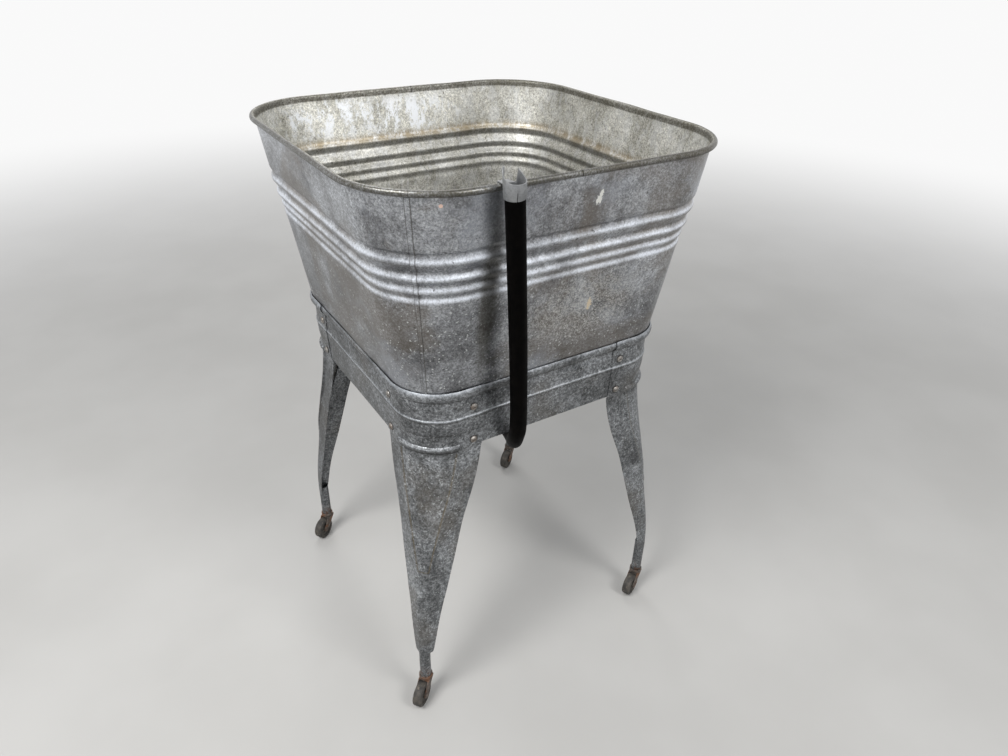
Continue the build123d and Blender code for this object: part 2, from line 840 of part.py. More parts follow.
with BuildPart() as axle:
    with BuildSketch(Plane(origin=(trail, 0, axle_z))) as axle_profile:
        with BuildLine():
            Polyline(
                (0, -cheek_outer - rivet_head_height),
                (rivet_head_radius, -cheek_outer - rivet_head_height),
                (rivet_head_radius, -cheek_outer),
                (axle_radius, -cheek_outer),
                (axle_radius, cheek_outer),
                (rivet_head_radius, cheek_outer),
                (rivet_head_radius, cheek_outer + rivet_head_height),
                (0, cheek_outer + rivet_head_height),
                close=True,
            )
        make_face()
        head_corners = axle_profile.vertices().group_by(Axis.X)[-1].sort_by(Axis.Y)
        fillet([head_corners[0], head_corners[-1]], rivet_round)
    revolve(axis=axle_axis)

caster_pieces = {"socket": socket, "fork": fork, "wheel": wheel, "axle": axle}
for corner_name, rest_angle in caster_angles.items():
    sign_x, sign_y = corner_signs[corner_name]
    spot = Location((sign_x * tube_centre, sign_y * tube_centre, 0), (0, 0, rest_angle))
    for piece_name, piece in caster_pieces.items():
        with BuildPart() as placed_piece:
            add(piece.part.moved(spot))
        write(placed_piece, f"{piece_name}_{corner_name}")

# Drain: flange with its spud, gasket, locknut and elbow, round the Z axis

spud_foot_z = sump_top_z - spud_length

with BuildPart() as drain_flange:
    with BuildSketch(Plane.XZ) as flange_profile:
        with BuildLine():
            Polyline(
                (drain_bore, spud_foot_z),
                (spud_radius, spud_foot_z),
                (spud_radius, sump_top_z),
                (drain_flange_radius, sump_top_z),
                (drain_flange_radius, sump_top_z + drain_flange_height),
                (drain_bore, sump_top_z + drain_flange_height),
                close=True,
            )
        make_face()
        rim_corner = flange_profile.vertices().group_by(Axis.X)[-1].sort_by(Axis.Y)[-1]
        fillet(rim_corner, drain_flange_round)
    revolve(axis=Axis.Z)
write(drain_flange, "drain_flange")

with BuildPart() as drain_gasket:
    with BuildSketch(Plane.XY.offset(sump_z)):
        Circle(gasket_radius)
        Circle(drain_hole, mode=Mode.SUBTRACT)
    extrude(amount=-gasket_height)
write(drain_gasket, "drain_gasket")

locknut_top_z = sump_z - gasket_height
with BuildPart() as drain_locknut:
    with BuildSketch(Plane.XY.offset(locknut_top_z)):
        RegularPolygon(locknut_radius, 6)
        Circle(spud_radius + press_clearance, mode=Mode.SUBTRACT)
    extrude(amount=-locknut_height)
write(drain_locknut, "drain_locknut")

elbow_top_z = locknut_top_z - locknut_height - elbow_gap
elbow_radius = spud_radius + elbow_wall
elbow_foot_z = outlet_z - elbow_radius + elbow_wall + elbow_wall
hose_way = math.degrees(math.atan2(hose_approach[1], hose_approach[0]))
outlet_dir = (math.cos(math.radians(hose_way)), math.sin(math.radians(hose_way)), 0)
outlet_plane = Plane(origin=(0, 0, outlet_z), x_dir=(0, 0, 1), z_dir=outlet_dir)

with BuildPart() as drain_elbow:
    with BuildSketch(Plane.XZ) as elbow_profile:
        with BuildLine():
            Polyline(
                (0, elbow_foot_z),
                (elbow_radius, elbow_foot_z),
                (elbow_radius, elbow_top_z),
                (0, elbow_top_z),
                close=True,
            )
        make_face()
        foot_corner = elbow_profile.vertices().group_by(Axis.X)[-1].sort_by(Axis.Y)[0]
        fillet(foot_corner, elbow_round)
    revolve(axis=Axis.Z)
    with BuildSketch(outlet_plane):
        Circle(hose_radius)
    extrude(amount=outlet_reach)
    with BuildSketch(outlet_plane.offset(outlet_reach)):
        Circle(tail_radius)
    extrude(amount=tail_length)
    with BuildSketch(Plane.XY.offset(elbow_foot_z + elbow_wall)):
        Circle(drain_bore)
    extrude(amount=elbow_top_z - elbow_foot_z, mode=Mode.SUBTRACT)
    with BuildSketch(Plane.XY.offset(spud_foot_z)):
        Circle(spud_radius + press_clearance)
    extrude(amount=elbow_top_z - spud_foot_z, mode=Mode.SUBTRACT)
    with BuildSketch(outlet_plane):
        Circle(tail_radius - tail_wall)
    extrude(amount=outlet_reach + tail_length, mode=Mode.SUBTRACT)
write(drain_elbow, "drain_elbow")

# Drain hose: straight runs joined by tangent arcs

hose_end = (outlet_dir[0] * outlet_reach, outlet_dir[1] * outlet_reach, outlet_z)
hose_points = [Vector(*p) for p in (
    hose_top, hose_knee, hose_low_outer, hose_low_inner, hose_approach, hose_end)]
hose_runs = [(b - a).length for a, b in zip(hose_points, hose_points[1:])]
hose_radii = []
for i in range(1, len(hose_points) - 1):
    turn = (hose_points[i] - hose_points[i - 1]).get_angle(hose_points[i + 1] - hose_points[i])
    short_run = min(hose_runs[i - 1], hose_runs[i])
    hose_radii.append(hose_arc_share * short_run / math.tan(math.radians(turn) / 2))
    print(f"hose corner {i}: turn {turn:.1f} deg, radius {hose_radii[-1]:.1f} mm")

with BuildLine() as hose_path:
    FilletPolyline(*hose_points, radius=hose_radii)
hose_length = hose_path.wire().length

with BuildPart() as drain_hose:
    with BuildSketch(Plane(origin=hose_points[0], z_dir=hose_path.wire() % 0)):
        Circle(hose_radius)
        Circle(hose_bore, mode=Mode.SUBTRACT)
    sweep(path=hose_path.wire())
write(drain_hose, "drain_hose")
hose_section = math.pi * (hose_radius * hose_radius - hose_bore * hose_bore)
print(f"hose length {hose_length:.1f} mm, runs {[round(run, 1) for run in hose_runs]}")
print(f"hose volume {drain_hose.part.volume:.0f}, section by length {hose_section * hose_length:.0f}")

# Hook: a sheet sleeve on the hose's end, scooped in front, with a tab bent over the rim

hose_up = (hose_points[0] - hose_points[1]).normalized()
hook_bore = hose_radius + hook_clearance
hook_radius = hook_bore + hook_sheet
sleeve_plane = Plane(origin=hose_points[0], x_dir=(1, 0, 0), z_dir=hose_up)


def sleeve_axis(z):
    """Point of the sleeve's axis at height z."""
    return hose_points[0] + hose_up * ((z - hose_points[0].Z) / hose_up.Z)


lip = sleeve_axis(hose_top[2] + hook_lip_rise)
tab_foot_z = tub_top + hook_gap
tab_top_z = tab_foot_z + hook_sheet
tab = sleeve_axis(tab_top_z)
tab_start = tab.Y + hook_bore - hook_sheet
tab_end = curl_outer + curl_outer - rim_half + hook_gap + hook_sheet
tab_lean = hook_drop * math.tan(wall_tilt)

with BuildPart() as hose_hook:
    with BuildSketch(sleeve_plane.offset(-hook_foot_drop)):
        Circle(hook_radius)
        Circle(hook_bore, mode=Mode.SUBTRACT)
    extrude(amount=hook_foot_drop + hook_ear_rise)
    # Scoop that lowers the front of the sleeve and leaves an ear on either side
    with BuildSketch(Plane.YZ.offset(lip.X - hook_radius - overrun)):
        with Locations((lip.Y - hook_radius, lip.Z + hook_scoop_radius)):
            Circle(hook_scoop_radius)
    extrude(amount=hook_radius + hook_radius + overrun + overrun, mode=Mode.SUBTRACT)
    # Notch between the ears, where the tab was cut free
    with BuildSketch(Plane.XY.offset(tab_top_z)):
        with Locations((tab.X, tab.Y + hook_radius)):
            Rectangle(hook_notch_width, hook_radius + hook_radius)
    extrude(amount=hook_ear_rise, mode=Mode.SUBTRACT)
    with BuildSketch(Plane.YZ.offset(tab.X - hook_tab_width / 2)):
        with BuildLine():
            Polyline(
                (tab_start, tab_top_z),
                (tab_end, tab_top_z),
                (tab_end + tab_lean, tub_top - hook_drop),
                (tab_end - hook_sheet + tab_lean, tub_top - hook_drop),
                (tab_end - hook_sheet, tab_foot_z),
                (tab_start, tab_foot_z),
                close=True,
            )
        make_face()
    extrude(amount=hook_tab_width)
    with BuildSketch(sleeve_plane.offset(-hook_foot_drop)):
        Circle(hook_bore)
    extrude(amount=hook_foot_drop + hook_ear_rise, mode=Mode.SUBTRACT)
    # Open joint of the rolled sleeve
    joint_turn = math.radians(hook_joint_angle)
    joint_dir = (math.cos(joint_turn), math.sin(joint_turn), 0)
    joint_origin = sleeve_plane.offset(-hook_foot_drop).origin
    with BuildSketch(Plane(origin=joint_origin, x_dir=(0, 0, 1), z_dir=joint_dir)):
        Rectangle(hook_joint_height + hook_joint_height, hook_joint_width)
    extrude(amount=hook_radius + overrun, mode=Mode.SUBTRACT)
write(hose_hook, "hose_hook")

# Clamp that holds the hose on the elbow's tail

clamp_plane = outlet_plane.offset(outlet_reach + clamp_setback)
clamp_bore = hose_radius + clamp_clearance
clamp_radius = clamp_bore + clamp_sheet
lug_centre = clamp_radius - clamp_lug_overlap + clamp_lug[1] / 2

with BuildPart() as hose_clamp:
    with BuildSketch(clamp_plane):
        Circle(clamp_radius)
        with Locations((-lug_centre, 0)):
            Rectangle(clamp_lug[1], clamp_lug[0])
        Circle(clamp_bore, mode=Mode.SUBTRACT)
    extrude(amount=clamp_width)
    screw_origin = clamp_plane.offset(clamp_width / 2).from_local_coords(
        (-lug_centre, -clamp_screw_length / 2, 0)
    )
    with BuildSketch(Plane(origin=screw_origin, z_dir=clamp_plane.y_dir)):
        Circle(clamp_screw_radius)
    extrude(amount=clamp_screw_length)
write(hose_clamp, "hose_clamp")
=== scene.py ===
# %% [markdown]
# # A galvanised washing tub on its stand
# This notebook dresses a finished CAD model of an old laundry tub: a square tub of
# galvanised sheet with pressed ribs and a rolled rim, sitting in a stand of four pressed
# legs on casters, with a black drain hose hung on the rim. The CAD pieces arrive already
# in their places, in metres, with the floor at Z = 0. We keep the ones whose shape is
# right and give them a finish, and we model the thin sheet pieces again with more life in
# them: soft bends, small dents and rolled edges.
# %% Load the CAD model as a fixed frame
import math

import bmesh
import bpy
from mathutils import Matrix, Quaternion, Vector


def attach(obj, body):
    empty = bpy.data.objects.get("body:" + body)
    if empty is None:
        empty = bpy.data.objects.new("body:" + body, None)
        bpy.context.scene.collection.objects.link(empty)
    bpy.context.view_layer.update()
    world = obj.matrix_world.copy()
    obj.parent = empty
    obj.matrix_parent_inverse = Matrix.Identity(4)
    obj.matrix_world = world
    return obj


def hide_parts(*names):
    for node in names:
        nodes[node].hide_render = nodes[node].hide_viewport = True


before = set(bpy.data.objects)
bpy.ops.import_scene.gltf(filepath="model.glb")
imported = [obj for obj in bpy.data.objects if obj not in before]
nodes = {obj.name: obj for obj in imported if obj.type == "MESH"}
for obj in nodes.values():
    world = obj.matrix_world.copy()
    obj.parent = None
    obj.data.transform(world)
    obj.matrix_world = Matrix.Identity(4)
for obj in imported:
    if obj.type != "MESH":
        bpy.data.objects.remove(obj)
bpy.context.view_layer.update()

scene = bpy.context.scene

# %% [markdown]
# ## Camera
# The camera stands where the photographer stood: at head height, a little over two
# paces away, looking down at the front corner. A camera is easiest to aim with two
# angles, one round the object and one above the horizon. The phone was held a degree
# and a half out of level, so a last small roll about its own line of sight is added.
# %% Camera at the photograph's viewing angle
azimuth, elevation, roll = map(math.radians, (-32.95, 31.86, 1.458))
backward = Vector((
    math.sin(azimuth) * math.cos(elevation),
    -math.cos(azimuth) * math.cos(elevation),
    math.sin(elevation),
))
camera_data = bpy.data.cameras.new("camera")
camera_data.sensor_width = 36.0
camera_data.lens = 26.05
camera = bpy.data.objects.new("camera", camera_data)
scene.collection.objects.link(camera)
camera.location = (-0.5280, -0.9028, 1.0684)
camera.rotation_mode = "QUATERNION"
camera.rotation_quaternion = (-backward).to_track_quat("-Z", "Y") @ Quaternion((0, 0, 1), roll)
bpy.context.scene.camera = camera
print("camera at", camera.location[:])

# %% [markdown]
# ## Drain hose
# The real hose is plain black rubber, about 23 mm thick. It leaves the drain elbow under
# the tub, dips below the edge of the stand and climbs the outside of the wall to a sheet
# hook on the rim. A hose is one smooth line, so it is drawn as a NURBS curve through a
# few control points with a round bevel. The order is set after the points are added,
# because a curve with too few points falls back to straight runs. Blender pads a curve's
# box by the radius of its points, so the points carry the real radius here and the bevel
# depth, which multiplies it, is 1.
# %% Hose as a NURBS curve from the hook to the drain
hose_radius = 0.0115
hose_route = (
    (-0.1163, -0.2798, 0.8320),
    (-0.0758, -0.2484, 0.5057),
    (-0.0699, -0.2266, 0.4581),
    (-0.0476, -0.1940, 0.4318),
    (-0.0287, -0.1219, 0.4240),
    (-0.01146, -0.04867, 0.4240),
)
hose_curve = bpy.data.curves.new("drain_hose_line", "CURVE")
hose_curve.dimensions = "3D"
hose_line = hose_curve.splines.new("NURBS")
hose_line.points.add(len(hose_route) - 1)
for point, place in zip(hose_line.points, hose_route):
    point.co = (*place, 1.0)
    point.radius = hose_radius
hose_line.order_u = 3
hose_line.use_endpoint_u = True
hose_line.resolution_u = 24
hose_curve.bevel_depth = 1.0
hose_curve.bevel_resolution = 10
hose_curve.use_fill_caps = True
hose = bpy.data.objects.new("hose", hose_curve)
scene.collection.objects.link(hose)
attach(hose, "tub")
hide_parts("drain_hose")
print("hose with", len(hose_route), "control points")

# %% [markdown]
# ## A small kit for finishes
# Every finish here is a stack of the same few steps: a noise, a ramp that picks out part
# of it, and a mix that lays one colour over another. Writing those steps once keeps each
# material short enough to read. All patterns read Object coordinates, so their sizes are
# in metres and they stay with the metal when it moves.
# %% Finish kit: nodes and patterns
class Patterns:
    """One material, and short names for the nodes that feed its Principled shader."""

    def __init__(self, name):
        self.material = bpy.data.materials.new(name)
        self.material.use_nodes = True
        self.tree = self.material.node_tree
        self.shader = self.tree.nodes["Principled BSDF"]
        self.place = self.add("ShaderNodeTexCoord").outputs["Object"]

    def add(self, kind, **settings):
        node = self.tree.nodes.new(kind)
        for name, value in settings.items():
            setattr(node, name, value)
        return node

    def feed(self, socket, value):
        """Link a node's output into a socket, or set a plain value on it."""
        if isinstance(value, bpy.types.NodeSocket):
            self.tree.links.new(value, socket)
        elif socket.type == "RGBA" and len(value) < 4:
            socket.default_value = (*value, 1.0)
        else:
            socket.default_value = value

    def stretched(self, scale, shift=(0, 0, 0)):
        """Object coordinates multiplied by a scale along each axis."""
        mapping = self.add("ShaderNodeMapping")
        self.feed(mapping.inputs["Vector"], self.place)
        mapping.inputs["Scale"].default_value = scale
        mapping.inputs["Location"].default_value = shift
        return mapping.outputs["Vector"]

    def noise(self, scale, detail=4.0, rough=0.5, vector=None, distortion=0.0):
        node = self.add("ShaderNodeTexNoise")
        self.feed(node.inputs["Vector"], vector or self.place)
        node.inputs["Scale"].default_value = scale
        node.inputs["Detail"].default_value = detail
        node.inputs["Roughness"].default_value = rough
        node.inputs["Distortion"].default_value = distortion
        return node.outputs["Fac"]

    def cells(self, scale, output, vector):
        node = self.add("ShaderNodeTexVoronoi")
        self.feed(node.inputs["Vector"], vector)
        node.inputs["Scale"].default_value = scale
        return node.outputs[output]

    def axis(self, name):
        node = self.add("ShaderNodeSeparateXYZ")
        self.feed(node.inputs[0], self.place)
        return node.outputs[name]


print("patterns ready")

# %% [markdown]
# A finish is mostly a question of where: low down, near a crest, in one cloud of a noise.
# Each answer is a mask, a number from 0 to 1 at every point. A smooth step picks it out
# of a value, which leaves no hard edge, and two masks that both have to hold are
# multiplied.
# %% Finish kit: masks
class Masks(Patterns):
    """Where on the surface a layer shows."""

    def sum(self, operation, first, second):
        node = self.add("ShaderNodeMath", operation=operation)
        self.feed(node.inputs[0], first)
        self.feed(node.inputs[1], second)
        return node.outputs[0]

    def pick(self, value, low, high, top=1.0, bottom=0.0):
        """0 below low, 1 above high, smooth between, mapped to bottom and top."""
        node = self.add("ShaderNodeMapRange", interpolation_type="SMOOTHSTEP")
        self.feed(node.inputs["Value"], value)
        ends = {"From Min": low, "From Max": high, "To Min": bottom, "To Max": top}
        for name, number in ends.items():
            node.inputs[name].default_value = number
        return node.outputs["Result"]

    def both(self, *masks):
        result = masks[0]
        for mask in masks[1:]:
            result = self.sum("MULTIPLY", result, mask)
        return result

    def near(self, value, centre, reach):
        """1 where a value is at the centre, fading to 0 at the reach."""
        off = self.sum("ABSOLUTE", self.sum("SUBTRACT", value, centre), 0.0)
        return self.pick(off, reach, 0.0)

    def blob(self, centre, size, edge=0.5):
        """1 inside an ellipsoid at centre, 0 outside it, with a soft edge."""
        scale = [1.0 / s for s in size]
        shift = [-c / s for c, s in zip(centre, size)]
        vector = self.add("ShaderNodeVectorMath", operation="LENGTH")
        self.feed(vector.inputs[0], self.stretched(scale, shift))
        return self.pick(vector.outputs["Value"], 1.0 - edge, 1.0 + edge, 0.0, 1.0)

    def flecks(self, scale, share, size):
        """Small ragged spots, one in a share of the cells of a Voronoi pattern."""
        noise = self.add("ShaderNodeTexNoise")
        self.feed(noise.inputs["Vector"], self.place)
        noise.inputs["Scale"].default_value = scale * 1.5
        ragged = self.add("ShaderNodeVectorMath", operation="MULTIPLY_ADD")
        self.feed(ragged.inputs[0], noise.outputs["Color"])
        ragged.inputs[1].default_value = (1.1 / scale,) * 3
        self.feed(ragged.inputs[2], self.place)
        lot = self.add("ShaderNodeSeparateColor")
        self.feed(lot.inputs[0], self.cells(scale, "Color", ragged.outputs[0]))
        chosen = self.pick(lot.outputs[0], share, share - 0.01)
        away = self.cells(scale, "Distance", ragged.outputs[0])
        return self.both(chosen, self.pick(away, size, size * 0.6))


print("masks ready")

# %% [markdown]
# Colours are then laid over each other by these masks, as a painter glazes, and the last
# call hands the finished colour, metal, roughness and bumps to the shader.
# %% Finish kit: layers
class Finish(Masks):
    """Layers of colour, and the finished material."""

    def mix(self, share, first, second, blend="MIX"):
        node = self.add("ShaderNodeMix", data_type="RGBA", blend_type=blend)
        self.feed(node.inputs["Factor"], share)
        self.feed(node.inputs[6], first)
        self.feed(node.inputs[7], second)
        return node.outputs[2]

    def shaded(self, colour, *factors):
        """A colour multiplied by one or more plain factors."""
        factor = self.both(*factors)
        tone = self.add("ShaderNodeCombineColor")
        for channel in tone.inputs:
            self.feed(channel, factor)
        return self.mix(1.0, colour, tone.outputs[0], "MULTIPLY")

    def bump(self, height, strength, distance, under=None):
        node = self.add("ShaderNodeBump")
        self.feed(node.inputs["Height"], height)
        node.inputs["Strength"].default_value = strength
        node.inputs["Distance"].default_value = distance
        if under is not None:
            self.feed(node.inputs["Normal"], under)
        return node.outputs["Normal"]

    def finish(self, colour, metallic, roughness, normal=None):
        self.feed(self.shader.inputs["Base Color"], colour)
        self.feed(self.shader.inputs["Metallic"], metallic)
        self.feed(self.shader.inputs["Roughness"], roughness)
        if normal is not None:
            self.feed(self.shader.inputs["Normal"], normal)
        return self.material


def paint(piece, material):
    """Put one material in a piece's first slot."""
    if piece.data.materials:
        piece.data.materials[0] = material
    else:
        piece.data.materials.append(material)


print("finish kit ready")

# %% [markdown]
# ## Old zinc
# Hot-dip galvanised steel starts out bright. Decades of wash water dull it to a mid grey
# that varies at every size at once, from hand-wide brown and blue clouds down to a fine
# grain. One noise with many octaves gives all of that together. On top lie pale flecks of
# zinc bloom, dark pits and, on the crests of the ribs, bright metal again with a painted
# highlight over it.
# %% Base of every old zinc
# A noise hardly leaves this range, so a pick between the two uses all of its contrast
grain_range = (0.3, 0.7)


def zinc_base(f, dark, light, scale, grit):
    """Colour of old zinc from one many-octave noise, that noise and a fine grain."""
    body = f.noise(scale, 12.0, 0.74)
    grain = f.noise(400.0, 4.0, 0.8)
    colour = f.mix(f.pick(body, 0.36, 0.64), dark, light)
    mottle = f.pick(f.noise(210.0, 3.0, 0.7), 0.38, 0.62, 1.0 + grit, 1.0 - grit)
    return f.shaded(colour, f.pick(grain, 0.34, 0.66, 1.45, 0.60), mottle), body, grain


def pitted(f, colour, pits, grain, pit_colour):
    """Dark pits, broken up by the grain."""
    return f.mix(f.both(pits, f.pick(grain, 0.2, 0.6, 0.8)), colour, pit_colour)


print("zinc base ready")

# %% [markdown]
# The outside of the wall is cool grey with brown clouds. It is darker low down, a painted
# shade darkens it round the front corner, and its rib crests are painted bright, partly as
# rubbed metal and partly as a painted highlight. Each crest is found by its height, because
# the ribs run level round the tub.
# %% Outside of the wall
rib_crests, crest_reach = (0.7525, 0.7305, 0.7135, 0.6995), 0.0055


def outside_zinc(f, pits):
    """Colour of the wall's outside, the noise of its body and its grain."""
    height = f.axis("Z")
    warm = f.noise(6.0, 6.0, 0.62, distortion=0.6)
    cool = f.noise(8.0, 6.0, 0.62, f.stretched((1, 1, 1), (3.7, 1.1, 2.3)))
    colour, body, grain = zinc_base(f, (0.18, 0.182, 0.19), (0.47, 0.485, 0.51), 14.0, 0.17)
    brown = f.both(f.pick(warm, 0.46, 0.60, 0.75), f.pick(grain, *grain_range, 0.6, 1.0))
    colour = f.mix(brown, colour, (0.190, 0.165, 0.138))
    colour = f.mix(f.pick(cool, 0.52, 0.68, 0.45), colour, (0.47, 0.50, 0.56))
    # Painted shade: the wall round the front corner is darkened.
    front = f.blob((-0.195, -0.225, 0.70), (0.085, 0.055, 0.17), 0.5)
    low = f.pick(height, 0.54, 0.72, 1.0, 0.74)
    colour = f.shaded(colour, low, f.pick(front, 0.0, 1.0, 0.78, 1.0))
    crest = 0.0
    for crest_z in rib_crests:
        crest = f.sum("MAXIMUM", f.near(height, crest_z, crest_reach), crest)
    # The rib crests are painted bright: partly rubbed metal, partly a painted highlight.
    rubbed_and_highlight = f.both(crest, f.pick(body, 0.35, 0.6, 0.90, 0.35), f.pick(grain, 0.3, 0.6, 1.0, 0.5))
    colour = f.mix(rubbed_and_highlight, colour, (0.82, 0.86, 0.93))
    bloom = f.both(f.flecks(210.0, 0.40, 0.30), f.pick(height, 0.74, 0.66, 0.75, 0.25))
    colour = f.mix(bloom, colour, (0.68, 0.70, 0.70))
    return pitted(f, colour, pits, grain, (0.055, 0.052, 0.050)), body, grain


print("outside has", len(rib_crests), "bright crests")

# %% [markdown]
# The inside is warmer and paler. Two broad patches of bare silver show at the back, where
# the last of the bright zinc is left in upright streaks, and a brown water line runs just
# above the ribs.
# %% Inside of the wall
water_line = 0.7650


def inside_zinc(f, pits):
    """Colour of the wall's inside."""
    height, across = f.axis("Z"), f.axis("X")
    colour, _, grain = zinc_base(f, (0.37, 0.36, 0.315), (0.68, 0.67, 0.62), 17.0, 0.12)
    silver = f.noise(52.0, 9.0, 0.86, f.stretched((1.0, 1.0, 0.5)))
    left_patch = f.blob((-0.12, 0.25, 0.802), (0.10, 0.08, 0.028), 0.6)
    right_patch = f.blob((0.01, 0.25, 0.795), (0.10, 0.06, 0.030), 0.6)
    bright = f.sum("MAXIMUM", f.sum("MAXIMUM", left_patch, right_patch), 0.30)
    colour = f.mix(f.both(f.pick(silver, 0.47, 0.56), bright), colour, (0.86, 0.88, 0.91))
    brown = f.both(f.near(height, water_line, 0.012), f.pick(silver, 0.64, 0.42, 0.80))
    colour = f.mix(brown, colour, (0.30, 0.235, 0.14))
    colour = pitted(f, colour, pits, grain, (0.09, 0.08, 0.065))
    right_side = f.pick(across, -0.02, 0.24, 0.78, 1.0)
    ribs = f.pick(height, 0.752, 0.772, 1.0, 0.70)
    return f.shaded(colour, right_side, ribs)


def faces_inward(f):
    """1 on faces that look at the tub's upright axis, and 0 on those that look away."""
    level_place = f.add("ShaderNodeVectorMath", operation="MULTIPLY")
    f.feed(level_place.inputs[0], f.place)
    level_place.inputs[1].default_value = (1.0, 1.0, 0.0)
    facing = f.add("ShaderNodeVectorMath", operation="DOT_PRODUCT")
    f.feed(facing.inputs[0], f.add("ShaderNodeNewGeometry").outputs["Normal"])
    f.feed(facing.inputs[1], level_place.outputs["Vector"])
    return f.pick(facing.outputs["Value"], 0.006, -0.006)


print("water line at", water_line)

# %% [markdown]
# The rim has gone dark and olive where hands and water have been, and shows a short
# joint on two sides. Where the two halves of the wall lap, at the front and back corners,
# run two fine dark lines. They are drawn by the angle round the corner's own axis, which
# stands as far from the tub's middle in X as in Y.
# %% Rim and lap joints
corner = 0.145
rim_joints = ((-1, -0.017), (1, 0.027))
lap_degrees = (48.4, 51.6)
rim_edge = (0.8276, 0.8298)


def rim_and_laps(f, colour, grain, is_inside):
    """The dark rim with its joints, and the lines of the two laps."""
    across, along = f.axis("X"), f.axis("Y")
    rim = f.pick(f.axis("Z"), *rim_edge)
    olive = f.both(rim, f.pick(grain, 0.30, 0.66, 0.62, 0.98))
    colour = f.mix(olive, colour, (0.070, 0.064, 0.046))
    for sign, joint_x in rim_joints:
        this_side = f.pick(along, 0.15 * sign, 0.20 * sign)
        joint = f.both(rim, f.near(across, joint_x, 0.0016), this_side)
        colour = f.mix(joint, colour, (0.030, 0.027, 0.020))
    shown = f.pick(is_inside, 0.0, 1.0, 0.20, 0.75)
    for sign in (-1, 1):
        beside, ahead = (
            f.sum("MULTIPLY", f.sum("SUBTRACT", axis, corner * sign), sign)
            for axis in (across, along)
        )
        turn = f.sum("ARCTAN2", ahead, beside)
        this_corner = f.pick(across, 0.10 * sign, 0.11 * sign)
        for degrees in lap_degrees:
            line = f.near(turn, math.radians(degrees), math.radians(0.5))
            colour = f.mix(f.both(line, this_corner, shown), colour, (0.06, 0.055, 0.05))
    return colour


print(len(rim_joints), "rim joints and", len(lap_degrees), "lines at each lap")

# %% [markdown]
# A few marks of use sit on the hose side and at the front corner: a white splash, a pink
# spot, a tan scrap and a patch of rough crust. A dark painted shadow of the hose runs down
# the wall beside it. Each is a soft ellipsoid at its own place, with a ragged edge from a
# fine noise.
# %% Marks of use, and the hose's painted shadow
marks = (
    ((0.0195, -0.2557, 0.7960), (0.0042, 0.008, 0.0055), (0.88, 0.88, 0.84)),
    ((0.0220, -0.2557, 0.8035), (0.0028, 0.008, 0.0050), (0.88, 0.88, 0.84)),
    ((-0.1875, -0.2502, 0.8195), (0.0024, 0.004, 0.0022), (0.80, 0.58, 0.48)),
    ((0.0415, -0.2268, 0.6430), (0.0040, 0.006, 0.0088), (0.74, 0.62, 0.44)),
)


def marks_and_hose_shadow(f, colour, grain):
    """Spots and crust over the wall's colour, and a painted shadow beside the hose."""
    edge = f.pick(f.noise(330.0, 4.0, 0.7), *grain_range, 0.42, -0.42)
    for centre, size, tint in marks:
        ragged = f.pick(f.sum("ADD", f.blob(centre, size, 0.7), edge), 0.45, 0.60)
        limit = f.pick(f.blob(centre, size, 0.9), 0.01, 0.05)
        colour = f.mix(f.both(ragged, limit), colour, tint)
    crust = f.blob((0.032, -0.235, 0.636), (0.088, 0.03, 0.052), 0.35)
    colour = f.mix(f.both(crust, f.pick(grain, 0.45, 0.60, 0.6)), colour, (0.60, 0.59, 0.56))
    # A painted shadow of the hose, darkening the wall beside it.
    stain = f.blob((-0.119, -0.24, 0.690), (0.012, 0.04, 0.115), 0.5)
    return f.mix(f.both(stain, 0.55), colour, (0.085, 0.075, 0.050))


print(len(marks), "marks")

# %% [markdown]
# The wall's finish stacks these layers in the order in which the years laid them down:
# zinc on both sides, the rim and the laps, and last the marks, with the painted shadow of
# the hose. One material serves inside and outside, because the wall is one piece. The
# inside is also rougher.
# %% Zinc of the tub's wall
def zinc_wall(name):
    f = Finish(name)
    pits = f.flecks(120.0, 0.12, 0.22)
    outside, body, grain = outside_zinc(f, pits)
    is_inside = faces_inward(f)
    colour = f.mix(is_inside, outside, inside_zinc(f, pits))
    colour = rim_and_laps(f, colour, grain, is_inside)
    colour = marks_and_hose_shadow(f, colour, grain)
    rough = f.pick(body, 0.35, 0.65, 0.40, 0.30)
    rough = f.sum("ADD", rough, f.sum("MULTIPLY", is_inside, 0.18))
    bumps = f.bump(body, 0.25, 0.0012, f.bump(grain, 0.12, 0.0005))
    return f.finish(colour, 0.85, rough, bumps)


wall_zinc = zinc_wall("weathered_zinc_wall")
for name in ("tub_wall_left", "tub_wall_right", "rim_wire", "tub_bottom"):
    paint(nodes[name], wall_zinc)
print("wall finish on", nodes["tub_wall_left"].name)

# %% [markdown]
# ## Zinc of the stand
# The stand is darker and coarser than the tub. Its bead and ridge are painted pale, partly
# as rubbed metal and partly as a painted highlight. Painted shade darkens the creases below
# them and rings the screw heads, and rust climbs from the casters. What is found by height
# is the same on every side. The dirt along the panel on each leg and the painted shade
# under its ledge follow the shape instead, so they come from an attribute that is stored
# with the mesh.
# %% Painted shade in creases and round screw heads, dirt and painted shade along the panels
bead_crest, ridge_crest = 0.5590, 0.5125
creases = (0.5412, 0.5090)
screw_across, screw_heights = 0.125, (0.525, 0.471)
crease_shade_colour = (0.040, 0.038, 0.034)


def screw_head_shadows(f, colour):
    """Painted shadow round the screw heads, which sit at the same place on every flange."""
    height = f.axis("Z")
    sides = [f.sum("ABSOLUTE", f.axis(name), 0.0) for name in "XY"]
    across = f.sum("POWER", f.sum("SUBTRACT", f.sum("MINIMUM", *sides), screw_across), 2.0)
    for screw_z in screw_heights:
        above = f.sum("POWER", f.sum("SUBTRACT", height, screw_z), 2.0)
        away = f.sum("SQRT", f.sum("ADD", across, above), 0.0)
        # A ring of painted shadow round each screw head.
        colour = f.mix(f.both(f.pick(away, 0.0078, 0.0056), 0.7), colour, (0.035, 0.030, 0.025))
    return colour


